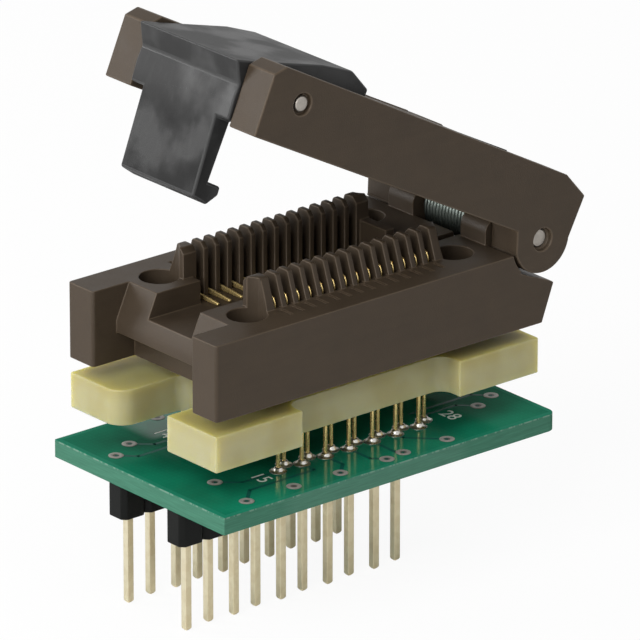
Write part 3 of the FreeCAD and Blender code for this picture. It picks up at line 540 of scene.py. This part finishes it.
def board_laminate(name):
    """Glossy solder mask over a glass weave, a paler margin with no copper, and cut edges."""
    recipe = Recipe(name)
    tint = tuple(colours().board)
    rim = tuple(colours().board_rim)
    x, y, z = recipe.axes(recipe.place)
    warp, weft = (
        recipe.add(
            "ShaderNodeTexWave",
            {"wave_type": "BANDS", "bands_direction": direction},
            {"Vector": recipe.place, "Scale": 0.62, "Distortion": 0.6, "Detail": 1.0},
        )
        for direction in "XY"
    )
    weave = warp * weft
    cloud = recipe.noise(0.16, 2.0)
    from_ends = (x - BOARD_LOW.x).lower(BOARD_HIGH.x - x)
    from_sides = (y - BOARD_LOW.y).lower(BOARD_HIGH.y - y)
    from_edge = from_ends.lower(from_sides)
    margin = recipe.steps(from_edge, 0.55, 0.4)
    # Lighter within a few millimetres of the edges: no copper pour there, and painted light that
    # shines through the board's edges
    bare_edge_and_painted_glow = recipe.steps(from_edge, 4.6, 0.8)
    joint_strip = recipe.steps(abs(y) - JOINT_STRIP.x, 0.0, 1.0) * recipe.steps(
        abs(x - JOINT_STRIP.y), JOINT_STRIP.z, JOINT_STRIP.z - 2.0
    )
    tone = 0.12 * weave + 0.45 * recipe.steps(cloud, 0.35, 0.65) + 0.5 * bare_edge_and_painted_glow
    mask = recipe.mix(tone, scaled(tint, 0.55), scaled(tint, 1.3))
    mask = recipe.mix(margin * 0.7, mask, tuned(tint, 3.0, 1.35, 1.5))
    layers = recipe.noise(1.0, 2.0, recipe.stretched((0.5, 0.5, 11.0)))
    cut = recipe.mix(layers, scaled(rim, 0.7), scaled(rim, 1.3))
    strands = recipe.steps(recipe.noise(1.0, 1.0, recipe.stretched((2.6, 2.6, 0.1))), 0.47, 0.55)
    top_ply = recipe.steps(z, BOARD_HIGH.z - 0.2, BOARD_HIGH.z - 0.1)
    cut = recipe.mix(0.7 * strands * top_ply, cut, tuned(rim, 3.2, 1.7, 2.0))
    upright = recipe.steps(abs(recipe.facing()[2]), 0.35, 0.6)
    fine = recipe.noise(6.0, 2.0)
    return recipe.done({
        "Base Color": recipe.mix(upright, cut, mask),
        "Roughness": 0.6 - 0.5 * upright + 0.04 * fine,
        "Normal": recipe.bump(0.3 * fine, 0.0015),
        "Specular IOR Level": 0.006 + 0.18 * joint_strip,
    })


def masked_copper(name):
    """A copper track under the solder mask."""
    recipe = Recipe(name)
    tint = tuple(colours().board)
    cloud = recipe.noise(0.8, 2.0)
    return recipe.done({
        "Base Color": recipe.mix(cloud, tuned(tint, 0.5, 0.42, 0.6), tuned(tint, 0.9, 0.62, 0.85)),
        "Roughness": 0.2 + 0.08 * cloud,
        "Specular IOR Level": 0.04,
    })


def plated(name, tint, dull, roughness, grain, metal=1.0, painted_side_shade=0.0):
    """Metal with fine drawing lines and a duller bloom, and painted shade that dulls the faces
    towards the near and far sides.
    """
    recipe = Recipe(name)
    lines = recipe.noise(1.0, 2.0, recipe.stretched(grain))
    bloom = recipe.noise(1.3, 2.0)
    tone = 0.35 * lines + 0.35 * recipe.steps(bloom, 0.4, 0.7)
    # Painted shade: faces towards the sides take the duller colour, for the darker room they would
    # reflect
    if painted_side_shade:
        tone = tone + painted_side_shade * recipe.steps(abs(recipe.facing()[1]), 0.6, 0.9)
    return recipe.done({
        "Base Color": recipe.mix(tone, tint, dull),
        "Metallic": metal,
        "Roughness": roughness + 0.14 * lines + 0.08 * bloom,
        "Normal": recipe.bump(lines, 0.004),
    })


def pin_plating(name):
    tint = tuple(colours().pin)
    dull = tuned(tint, 0.78, 0.72, 0.64)
    return plated(name, tint, dull, 0.26, (9.0, 9.0, 0.5), painted_side_shade=0.6)


def contact_plating(name):
    tint = tuple(colours().contact)
    dull = tuned(tint, 0.86, 0.84, 0.86)
    return plated(name, tint, dull, 0.16, (8.0, 8.0, 0.8), metal=0.8)


def solder_metal(name):
    tint = tuple(colours().solder)
    return plated(name, tint, scaled(tint, 0.7), 0.18, (2.0, 2.0, 2.0))


def dull_tin(name):
    """Tinned via, dulled by the thin mask over it, with painted shade in its hole: a dark middle.
    """
    recipe = Recipe(name)
    tint = tuple(colours().solder)
    spots = recipe.noise(3.5, 2.0)
    ring = recipe.mix(spots, scaled(tint, 0.34), scaled(tint, 0.7))
    # Painted shade: the low middle of the via, over its hole, is painted nearly black
    low = recipe.steps(recipe.axes(recipe.place)[2], BOARD_HIGH.z + 0.035, BOARD_HIGH.z + 0.01)
    return recipe.done({
        "Base Color": recipe.mix(low, ring, scaled(tint, 0.12)),
        "Metallic": 0.25,
        "Roughness": 0.42 + 0.15 * spots,
        "Normal": recipe.bump(spots, 0.01),
        "Specular IOR Level": 0.3,
    })


def pin_steel(name):
    tint = tuple(colours().steel)
    return plated(name, tint, scaled(tint, 0.7), 0.34, (7.0, 0.7, 7.0))


def spring_wire(name):
    tint = tuple(colours().spring)
    return plated(name, tint, scaled(tint, 0.72), 0.28, (4.0, 4.0, 4.0))


def printed_ink(name):
    recipe = Recipe(name)
    thin = recipe.noise(4.0, 2.0)
    tint = tuple(colours().ink)
    return recipe.done({
        "Base Color": recipe.mix(thin, scaled(tint, 0.75), tint),
        "Roughness": 0.5 + 0.2 * thin,
    })


def pale_floor(name):
    """Plain pale floor; the part seen by the camera stays near white and keeps the shadow."""
    recipe = Recipe(name)
    path = recipe.add("ShaderNodeLightPath").socket.node.outputs
    seen = Term(recipe, path["Is Camera Ray"])
    matt = recipe.add(
        "ShaderNodeBsdfDiffuse", None, {"Color": tuple(colours().floor)}, output="BSDF"
    )
    white = recipe.add(
        "ShaderNodeEmission", None, {"Color": (1.0, 1.0, 1.0), "Strength": 1.0}, output="Emission"
    )
    both = recipe.add("ShaderNodeMixShader", None, {0: seen * 0.92, 1: matt, 2: white})
    output = recipe.tree.nodes.new("ShaderNodeOutputMaterial")
    recipe.tree.links.new(both.socket, output.inputs["Surface"])
    return recipe.material


# Modelling helpers


def choose(piece):
    """Make one piece the only selected and active one."""
    bpy.ops.object.select_all(action="DESELECT")
    piece.select_set(True)
    bpy.context.view_layer.objects.active = piece


def open_edit(piece):
    choose(piece)
    bpy.ops.object.mode_set(mode="EDIT")


def close_edit():
    bpy.ops.object.mode_set(mode="OBJECT")


def name_piece(piece, name):
    piece.name = name
    piece.data.name = name
    return piece


def join_all(pieces):
    """Join pieces into one, which is then the active one."""
    bpy.ops.object.select_all(action="DESELECT")
    for piece in pieces:
        piece.select_set(True)
    bpy.context.view_layer.objects.active = pieces[0]
    bpy.ops.object.join()
    return bpy.context.active_object


def apply_place(piece):
    choose(piece)
    bpy.ops.object.transform_apply(location=True, rotation=True, scale=True)


def soften(piece, width, segments, painted_highlight_edges=False):
    """Round the sharp edges, then shade the flats flat and the rounds smooth."""
    choose(piece)
    bevel = piece.modifiers.new("Edges", "BEVEL")
    bevel.width = width
    bevel.segments = segments
    bevel.limit_method = "ANGLE"
    bevel.angle_limit = SHARP
    bevel.use_clamp_overlap = False
    # The rounded edges take the second material, a lighter tone: a painted highlight along them
    if painted_highlight_edges:
        bevel.material = 1
    bpy.ops.object.modifier_apply(modifier=bevel.name)
    smooth(piece)


def smooth(piece):
    choose(piece)
    bpy.ops.object.shade_smooth_by_angle(angle=SMOOTH)
    even = piece.modifiers.new("Evenness", "WEIGHTED_NORMAL")
    even.keep_sharp = True
    bpy.ops.object.modifier_apply(modifier=even.name)


def give_finish(piece, materials):
    piece.data.materials.clear()
    for material in materials:
        piece.data.materials.append(material)


def settle(piece, name, body):
    """Name a finished piece and let it ride on a body."""
    name_piece(piece, name)
    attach(piece, body)


def place_piece(piece, name, body, material):
    """Give a piece its finish and name, and let it ride on a body."""
    give_finish(piece, [material])
    settle(piece, name, body)


def merged_copy(node):
    """A copy of a node with its corners merged and its flat faces whole."""
    choose(FRAME["nodes"][node])
    bpy.ops.object.duplicate()
    piece = bpy.context.active_object
    del piece["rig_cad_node"], piece["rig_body"]
    piece.parent = None
    open_edit(piece)
    bpy.ops.mesh.select_all(action="SELECT")
    bpy.ops.mesh.remove_doubles(threshold=MERGE)
    bpy.ops.mesh.dissolve_limited(angle_limit=FLAT)
    close_edit()
    return piece


def dress(node, name, slot, width, segments, *materials, shape=None):
    """Stand a piece with softened edges in for a node, shaped further where that is given.

    With two materials the second one, a lighter tone of the first, is the edges': a painted
    highlight along them.
    """
    body = FRAME["nodes"][node]["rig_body"]
    piece = merged_copy(node)
    if shape:
        shape(piece)
    give_finish(piece, materials)
    soften(piece, width, segments, painted_highlight_edges=len(materials) > 1)
    settle(piece, name, body)
    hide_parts(node)


def lathe(rings, sides):
    """Raise a round form from a circle, ring by ring; a ring is (radius, height)."""
    radius, height = rings[0]
    bpy.ops.object.select_all(action="DESELECT")
    bpy.ops.mesh.primitive_circle_add(
        vertices=sides, radius=radius * MM, fill_type="NGON", location=(0, 0, 0)
    )
    piece = bpy.context.active_object
    open_edit(piece)
    bpy.ops.mesh.select_all(action="SELECT")
    bpy.ops.transform.translate(value=(0, 0, height * MM))
    for next_radius, next_height in rings[1:]:
        rise = (next_height - height) * MM
        bpy.ops.mesh.extrude_region_move(TRANSFORM_OT_translate={"value": (0, 0, rise)})
        share = next_radius / radius
        bpy.ops.transform.resize(
            value=(share, share, 1), center_override=(0, 0, next_height * MM)
        )
        radius, height = next_radius, next_height
    bpy.ops.mesh.select_all(action="SELECT")
    bpy.ops.mesh.normals_make_consistent(inside=False)
    close_edit()
    return piece


def scatter(pattern, places, name):
    """Copy a pattern to each place, as tall as its share says, and join the copies."""
    copies = []
    for x, y, z, share in places:
        choose(pattern)
        bpy.ops.object.duplicate()
        copy = bpy.context.active_object
        copy.location = (x * MM, y * MM, z * MM)
        copy.scale = (1, 1, share)
        apply_place(copy)
        copies.append(copy)
    bpy.data.objects.remove(pattern)
    return name_piece(join_all(copies), name)


def box(middle, reach, turn=0.0):
    """A block with its middle and half sizes in millimetres, turned about the upright."""
    bpy.ops.object.select_all(action="DESELECT")
    bpy.ops.mesh.primitive_cube_add(size=2, location=(0, 0, 0))
    piece = bpy.context.active_object
    piece.scale = [half * MM for half in reach]
    piece.rotation_euler = (0, 0, turn)
    piece.location = [along * MM for along in middle]
    apply_place(piece)
    return piece


def cut_away(piece, *cutters):
    """Cut each cutter's form out of a piece and drop the cutter."""
    for cutter in cutters:
        choose(piece)
        cut = piece.modifiers.new("Cut", "BOOLEAN")
        cut.operation = "DIFFERENCE"
        cut.solver = "EXACT"
        cut.object = cutter
        bpy.ops.object.modifier_apply(modifier=cut.name)
        bpy.data.objects.remove(cutter)


def coil_room():
    """The round room that the hinge spring's coil turns in."""
    setting = sizes()
    bpy.ops.object.select_all(action="DESELECT")
    bpy.ops.mesh.primitive_cylinder_add(
        vertices=48,
        radius=setting.hinge_coil + setting.hinge_wire / 2 + COIL_GAP * MM,
        depth=2 * COIL_ROOM_HALF * MM,
        location=HINGE * MM,
        rotation=(math.pi / 2, 0, 0),
    )
    room = bpy.context.active_object
    apply_place(room)
    return room


def to_open_lid(piece):
    """Carry a piece made on the closed lid, with the hinge at the origin, to the open lid."""
    turn = Matrix.Rotation(LID_OPEN, 4, "Y")
    piece.matrix_world = Matrix.Translation(HINGE * MM) @ turn @ piece.matrix_world
    apply_place(piece)


def wind(radius, wire, rise, degrees, axis, sides=10):
    """Wind a coil from a circle of wire with a screw; it starts below or beside its axis."""
    bpy.ops.object.select_all(action="DESELECT")
    if axis == "Y":
        start, turned = (0, 0, -radius), (0, math.pi / 2, 0)
    else:
        start, turned = (radius, 0, 0), (math.pi / 2, 0, 0)
    bpy.ops.mesh.primitive_circle_add(
        vertices=sides, radius=wire / 2, fill_type="NOTHING", location=start, rotation=turned
    )
    piece = bpy.context.active_object
    apply_place(piece)
    screw = piece.modifiers.new("Turns", "SCREW")
    screw.axis = axis
    screw.angle = math.radians(degrees)
    screw.screw_offset = rise
    screw.steps = round(abs(degrees) / COIL_STEP)
    screw.render_steps = screw.steps
    screw.iterations = 1
    screw.use_merge_vertices = False
    bpy.ops.object.modifier_apply(modifier=screw.name)
    return piece


def pull_end(piece, near, direction):
    """Draw out the open end of a wire whose ring is nearest to a point."""
    open_edit(piece)
    bpy.ops.mesh.select_all(action="DESELECT")
    close_edit()
    ends = {}
    for edge in piece.data.edges:
        for vertex in edge.vertices:
            ends[vertex] = ends.get(vertex, 0) + 1
    rim = [vertex for vertex, count in ends.items() if count == 3]
    reach = min((piece.data.vertices[index].co - near).length for index in rim)
    for index in rim:
        vertex = piece.data.vertices[index]
        vertex.select = (vertex.co - near).length < reach + 0.5 * MM
    open_edit(piece)
    bpy.ops.mesh.select_mode(type="VERT")
    bpy.ops.mesh.extrude_region_move(TRANSFORM_OT_translate={"value": tuple(direction)})
    close_edit()


def close_wire(piece):
    """Cap the wire's ends and turn its faces outwards."""
    open_edit(piece)
    bpy.ops.mesh.select_all(action="SELECT")
    bpy.ops.mesh.fill_holes(sides=0)
    bpy.ops.mesh.select_all(action="SELECT")
    bpy.ops.mesh.normals_make_consistent(inside=False)
    close_edit()
    choose(piece)
    bpy.ops.object.shade_smooth_by_angle(angle=SMOOTH)


def tail_places():
    """Where each contact's tail stands, front to hinge on the near side and then on the far one."""
    places = []
    for side in (-1, 1):
        for step in range(TAILS_PER_SIDE):
            row = TAIL_ROW_INNER if step % 2 else TAIL_ROW_OUTER
            places.append((TAIL_FIRST + step * TAIL_PITCH, side * row))
    return places


# Pieces


class ADAPTER_OT_stage(bpy.types.Operator):
    """Floor, soft light and camera"""

    bl_idname = "adapter.stage"
    bl_label = "Stage"

    def execute(self, context):
        stage = context.scene.adapter_stage
        bpy.ops.mesh.primitive_plane_add(size=3.0, location=(0, 0, (PIN_FOOT - FLOOR_GAP) * MM))
        floor = name_piece(context.active_object, "floor")
        floor.data.materials.append(finish_named("pale_floor", pale_floor))
        self.light_room(context.scene, stage)
        for name, place in LAMPS.items():
            self.add_lamp(name, *place, getattr(stage, f"{name}_power"))
        self.add_camera(context.scene, stage)
        context.scene.view_settings.view_transform = "Standard"
        return {"FINISHED"}

    def light_room(self, scene, stage):
        """Even light from all round; the camera and mirror surfaces see plain white."""
        world = bpy.data.worlds.new("room")
        scene.world = world
        world.use_nodes = True
        tree = world.node_tree
        tree.nodes.clear()
        path = tree.nodes.new("ShaderNodeLightPath")
        sees_white = path.outputs["Is Camera Ray"]
        for ray in ("Is Transmission Ray", "Is Glossy Ray"):
            either = tree.nodes.new("ShaderNodeMath")
            either.operation = "MAXIMUM"
            tree.links.new(sees_white, either.inputs[0])
            tree.links.new(path.outputs[ray], either.inputs[1])
            sees_white = either.outputs[0]
        mixer = tree.nodes.new("ShaderNodeMixShader")
        tree.links.new(sees_white, mixer.inputs[0])
        for slot, strength in ((1, stage.room_level), (2, 1.0)):
            background = tree.nodes.new("ShaderNodeBackground")
            background.inputs["Color"].default_value = (1.0, 1.0, 1.0, 1.0)
            background.inputs["Strength"].default_value = strength
            tree.links.new(background.outputs[0], mixer.inputs[slot])
        output = tree.nodes.new("ShaderNodeOutputWorld")
        tree.links.new(mixer.outputs[0], output.inputs["Surface"])

    def add_lamp(self, name, direction, away, width, power):
        """A square soft lamp in that direction, turned to the target."""
        toward = Vector(direction).normalized()
        bpy.ops.object.light_add(type="AREA", location=TARGET * MM + toward * away)
        lamp = bpy.context.active_object
        lamp.name = name
        lamp.rotation_euler = toward.to_track_quat("Z", "Y").to_euler()
        lamp.data.shape = "SQUARE"
        lamp.data.size = width
        lamp.data.energy = power

    def add_camera(self, scene, stage):
        """The photograph's view: from the front and the near side, a little above."""
        back = CAMERA_AXES[2]
        bpy.ops.object.camera_add(location=TARGET * MM + back * (CAMERA_AWAY * MM))
        camera = bpy.context.active_object
        camera.name = "camera"
        camera.rotation_euler = Matrix(CAMERA_AXES).transposed().to_euler()
        camera.data.lens = stage.focal_length
        camera.data.sensor_width = 36.0
        camera.data.clip_start = 0.05
        camera.data.clip_end = 20.0
        scene.camera = camera


class ADAPTER_OT_board(bpy.types.Operator):
    """Circuit board, its vias, tracks and printed numbers"""

    bl_idname = "adapter.board"
    bl_label = "Board"

    def execute(self, context):
        dress(
            "circuit_board",
            "board_panel",
            "board_green",
            sizes().board_edge,
            1,
            finish_named("board_laminate", board_laminate),
        )
        self.add_tracks()
        self.add_vias()
        self.add_numbers()
        return {"FINISHED"}

    def add_tracks(self):
        """Low strips for the tracks, which overlap at the corners."""
        strips = []
        for track in TRACKS:
            corners = [Vector((x + BOARD_LOW.x, y + BOARD_LOW.y, BOARD_HIGH.z)) for x, y in track]
            for start, end in zip(corners, corners[1:]):
                run = end - start
                reach = (run.length / 2 + TRACK_OVERLAP, TRACK_HALF_WIDE, TRACK_HALF_TALL)
                strips.append(box((start + end) / 2, reach, math.atan2(run.y, run.x)))
        place_piece(
            join_all(strips),
            "board_tracks",
            "socket",
            finish_named("masked_copper", masked_copper),
        )

    def add_vias(self):
        pattern = lathe(VIA_RINGS, 20)
        places = [
            (x + BOARD_LOW.x, y + BOARD_LOW.y, BOARD_HIGH.z - VIA_SUNK, 1.0) for x, y in VIAS
        ]
        vias = scatter(pattern, places, "board_vias")
        smooth(vias)
        place_piece(vias, "board_vias", "socket", finish_named("dull_tin", dull_tin))

    def add_numbers(self):
        for text, x, y in NUMBERS:
            bpy.ops.object.select_all(action="DESELECT")
            bpy.ops.object.text_add(location=(0, 0, 0))
            number = bpy.context.active_object
            number.data.body = text
            number.data.size = NUMBER_TALL * MM
            number.data.extrude = NUMBER_THICK * MM
            number.data.align_x = "CENTER"
            number.data.align_y = "CENTER"
            choose(number)
            bpy.ops.object.convert(target="MESH")
            number = bpy.context.active_object
            number.rotation_euler = (0, 0, -math.pi / 2)
            number.location = Vector((x + BOARD_LOW.x, y + BOARD_LOW.y, BOARD_HIGH.z)) * MM
            apply_place(number)
            place_piece(
                number,
                f"board_number_{text}",
                "socket",
                finish_named("printed_ink", printed_ink),
            )


class ADAPTER_OT_headers(bpy.types.Operator):
    """Breakaway headers and their pins"""

    bl_idname = "adapter.headers"
    bl_label = "Headers and pins"

    def execute(self, context):
        black = finish_named("header_plastic", header_plastic)
        for side in ("near", "far"):
            dress(
                f"header_{side}",
                f"header_{side}_strip",
                "header_black",
                sizes().header_edge,
                2,
                black,
            )
        gold = finish_named("pin_plating", pin_plating)
        for number in range(1, 2 * PINS_PER_ROW + 1):
            dress(
                f"dip_pin_{number:02d}",
                f"header_pin_{number:02d}",
                "pin_pale_gold",
                sizes().pin_edge,
                2,
                gold,
            )
        return {"FINISHED"}


class ADAPTER_OT_spacer(bpy.types.Operator):
    """Pale spacer that the contact tails pass through"""

    bl_idname = "adapter.spacer"
    bl_label = "Spacer"

    def execute(self, context):
        pale = finish_named("spacer_plastic", spacer_plastic)
        dress("spacer", "spacer_block", "spacer_cream", sizes().spacer_edge, 2, pale)
        return {"FINISHED"}


class ADAPTER_OT_socket(bpy.types.Operator):
    """Socket base with its two combs"""

    bl_idname = "adapter.socket"
    bl_label = "Socket base"

    def execute(self, context):
        dress(
            "socket_base",
            "socket_moulding",
            "socket_brown",
            sizes().socket_edge,
            2,
            finish_named("socket_plastic", socket_plastic),
            finish_named("socket_plastic_edge", socket_plastic_edge),
            shape=self.seat_spring,
        )
        return {"FINISHED"}

    def seat_spring(self, moulding):
        """Cut the hinge spring's round room, the groove for its leg and the deck's slots."""
        leg = HINGE + Vector((-LEG_LONG / 2, -COIL_HALF, -sizes().hinge_coil / MM))
        groove = box(leg, (LEG_LONG / 2 + LEG_GROOVE_END, LEG_GROOVE_HALF, LEG_GROOVE_HALF))
        cut_away(moulding, coil_room(), groove, self.deck_slots())

    def deck_slots(self):
        """Short shallow slots in the deck outside the combs, one at each contact."""
        return join_all([
            box((x, math.copysign(SLOT_MIDDLE, y), DECK_TOP), SLOT_REACH)
            for x, y in tail_places()
        ])


class ADAPTER_OT_contacts(bpy.types.Operator):
    """Contacts and their solder joints"""

    bl_idname = "adapter.contacts"
    bl_label = "Contacts and solder"

    def execute(self, context):
        gold = finish_named("contact_plating", contact_plating)
        for number in range(1, 2 * TAILS_PER_SIDE + 1):
            dress(
                f"contact_{number:02d}",
                f"contact_leaf_{number:02d}",
                "contact_gold",
                sizes().contact_edge,
                2,
                gold,
                shape=self.slim_arm,
            )
        pattern = lathe(SOLDER_RINGS, 18)
        # Soldered by hand: the joints differ a little in height
        places = [
            (x, y, BOARD_HIGH.z, 1.0 + 0.1 * math.sin(2.7 * index))
            for index, (x, y) in enumerate(tail_places())
        ]
        cones = scatter(pattern, places, "solder_cones")
        choose(cones)
        bpy.ops.object.shade_smooth_by_angle(angle=SMOOTH)
        place_piece(
            cones, "solder_cones", "socket", finish_named("solder_metal", solder_metal)
        )
        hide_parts("solder_joints")
        return {"FINISHED"}

    def slim_arm(self, leaf):
        """Thin the tail, and narrow the arm above the comb's floor and stand it a little taller."""
        vertices = leaf.data.vertices
        middle = sum(vertex.co.x for vertex in vertices) / len(vertices)
        lowest = min(vertex.co.z for vertex in vertices)
        foot = [vertex.co.y for vertex in vertices if vertex.co.z < lowest + MERGE]
        tail = (min(foot) + max(foot)) / 2
        half = (max(foot) - min(foot)) / 2 + MERGE
        for vertex in vertices:
            above = vertex.co.z - DECK_TOP * MM
            if above < -TAIL_ROOT * MM and abs(vertex.co.y - tail) <= half:
                vertex.co.y = tail + (vertex.co.y - tail) * TAIL_SHARE
            if above > 0:
                vertex.co.x = middle + (vertex.co.x - middle) * ARM_SHARE
                vertex.co.z += above * ARM_RISE


class ADAPTER_OT_lid(bpy.types.Operator):
    """Lid with its arms and knuckles, and the steel pins across it"""

    bl_idname = "adapter.lid"
    bl_label = "Lid and pins"

    def execute(self, context):
        dress(
            "lid",
            "lid_moulding",
            "socket_brown",
            sizes().lid_edge,
            2,
            finish_named("socket_plastic", socket_plastic),
            finish_named("socket_plastic_edge", socket_plastic_edge),
            shape=lambda lid: cut_away(lid, coil_room()),
        )
        steel = finish_named("pin_steel", pin_steel)
        dress("hinge_pin", "hinge_rod", "steel", HINGE_ROD_EDGE * MM, 2, steel)
        dress(
            "latch_pin",
            "latch_rod",
            "steel",
            LATCH_ROD_EDGE * MM,
            3,
            steel,
            shape=self.flush_ends,
        )
        return {"FINISHED"}

    def flush_ends(self, rod):
        """Let the pin's riveted ends come out to the arms' faces."""
        reach = max(vertex.co.y for vertex in rod.data.vertices)
        for vertex in rod.data.vertices:
            vertex.co.y *= ROD_REACH * MM / reach


class ADAPTER_OT_latch(bpy.types.Operator):
    """Black latch between the lid's arms"""

    bl_idname = "adapter.latch"
    bl_label = "Latch"

    def execute(self, context):
        dress(
            "latch",
            "latch_moulding",
            "latch_black",
            sizes().latch_edge,
            3,
            finish_named("latch_plastic", latch_plastic),
            finish_named("latch_plastic_edge", latch_plastic_edge),
            shape=self.shape_latch,
        )
        return {"FINISHED"}

    def shape_latch(self, latch):
        """Cut the thumb piece's face back into the plane of the plate's."""
        face = box(*FACE_CUT)
        face.rotation_euler = (0, -math.atan(PLATE_LEAN), 0)
        face.location = (LATCH_PIVOT + PLATE_FACE) * MM
        apply_place(face)
        to_open_lid(face)
        cut_away(latch, face)


class ADAPTER_OT_springs(bpy.types.Operator):
    """Hinge spring and latch spring"""

    bl_idname = "adapter.springs"
    bl_label = "Springs"

    def execute(self, context):
        wire = finish_named("spring_wire", spring_wire)
        self.hinge_spring(wire)
        self.latch_spring(wire)
        return {"FINISHED"}

    def hinge_spring(self, wire):
        """A close coil round the hinge pin with one leg in the base and one under the lid."""
        setting = sizes()
        half = COIL_HALF * MM
        slant = LID_OPEN - LEG_DIP
        lean = Vector((math.sin(slant), 0, math.cos(slant)))
        along = Vector((-math.cos(slant), 0, math.sin(slant)))
        degrees = 360 * setting.hinge_turns + 180 - math.degrees(slant)
        coil = wind(setting.hinge_coil, setting.hinge_wire, 2 * half, -degrees, "Y")
        pull_end(coil, Vector((0, 0, -setting.hinge_coil)), Vector((-LEG_LONG * MM, 0, 0)))
        close_wire(coil)
        coil.location = HINGE * MM - Vector((0, half, 0))
        apply_place(coil)
        place_piece(coil, "hinge_coil", "socket", wire)
        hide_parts("hinge_spring")
        start = HINGE * MM + lean * setting.hinge_coil + Vector((0, half, 0))
        bpy.ops.object.select_all(action="DESELECT")
        bpy.ops.mesh.primitive_cylinder_add(
            vertices=10,
            radius=setting.hinge_wire / 2,
            depth=LID_LEG_LONG * MM,
            location=start + along * LID_LEG_LONG * MM / 2,
            rotation=along.to_track_quat("Z", "Y").to_euler(),
        )
        leg = bpy.context.active_object
        apply_place(leg)
        bpy.ops.object.shade_smooth_by_angle(angle=SMOOTH)
        place_piece(leg, "hinge_coil_leg", "lid", wire)

    def latch_spring(self, wire):
        """A short coil under the latch's tail, which in the real socket presses together as the
        latch turns; here it keeps its shape.
        """
        setting = sizes()
        degrees = 360 * setting.latch_turns
        coil = wind(
            setting.latch_coil, setting.latch_wire, LATCH_SPRING_RISE * MM, degrees, "Z", 8
        )
        close_wire(coil)
        coil.location = LATCH_SPRING_START * MM
        apply_place(coil)
        to_open_lid(coil)
        place_piece(coil, "latch_coil", "lid", wire)
        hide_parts("latch_spring")
        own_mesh(coil)


class ADAPTER_PT_panel(bpy.types.Panel):
    """Lists the adapter's pieces and settings"""

    bl_idname = "ADAPTER_PT_panel"
    bl_label = "Adapter"
    bl_space_type = "VIEW_3D"
    bl_region_type = "UI"
    bl_category = "Adapter"

    def draw(self, context):
        for maker in MAKERS:
            self.layout.operator(maker.bl_idname)
        for group in ("adapter_sizes", "adapter_colours", "adapter_stage"):
            settings = getattr(context.scene, group)
            column = self.layout.column(align=True)
            for name in settings.__annotations__:
                column.prop(settings, name)


MAKERS = (
    ADAPTER_OT_stage,
    ADAPTER_OT_board,
    ADAPTER_OT_headers,
    ADAPTER_OT_spacer,
    ADAPTER_OT_socket,
    ADAPTER_OT_contacts,
    ADAPTER_OT_lid,
    ADAPTER_OT_latch,
    ADAPTER_OT_springs,
)

GROUPS = {
    "adapter_sizes": AdapterSizes,
    "adapter_colours": AdapterColours,
    "adapter_stage": AdapterStage,
}


def register():
    for group in GROUPS.values():
        bpy.utils.register_class(group)
    for name, group in GROUPS.items():
        setattr(bpy.types.Scene, name, bpy.props.PointerProperty(type=group))
    for maker in (*MAKERS, ADAPTER_PT_panel):
        bpy.utils.register_class(maker)


def unregister():
    for maker in reversed((*MAKERS, ADAPTER_PT_panel)):
        bpy.utils.unregister_class(maker)
    for name, group in GROUPS.items():
        delattr(bpy.types.Scene, name)
        bpy.utils.unregister_class(group)


def main():
    register()
    bpy.ops.adapter.stage()
    bpy.ops.adapter.board()
    bpy.ops.adapter.headers()
    bpy.ops.adapter.spacer()
    bpy.ops.adapter.socket()
    bpy.ops.adapter.contacts()
    bpy.ops.adapter.lid()
    bpy.ops.adapter.latch()
    bpy.ops.adapter.springs()


if __name__ == "__main__":
    main()
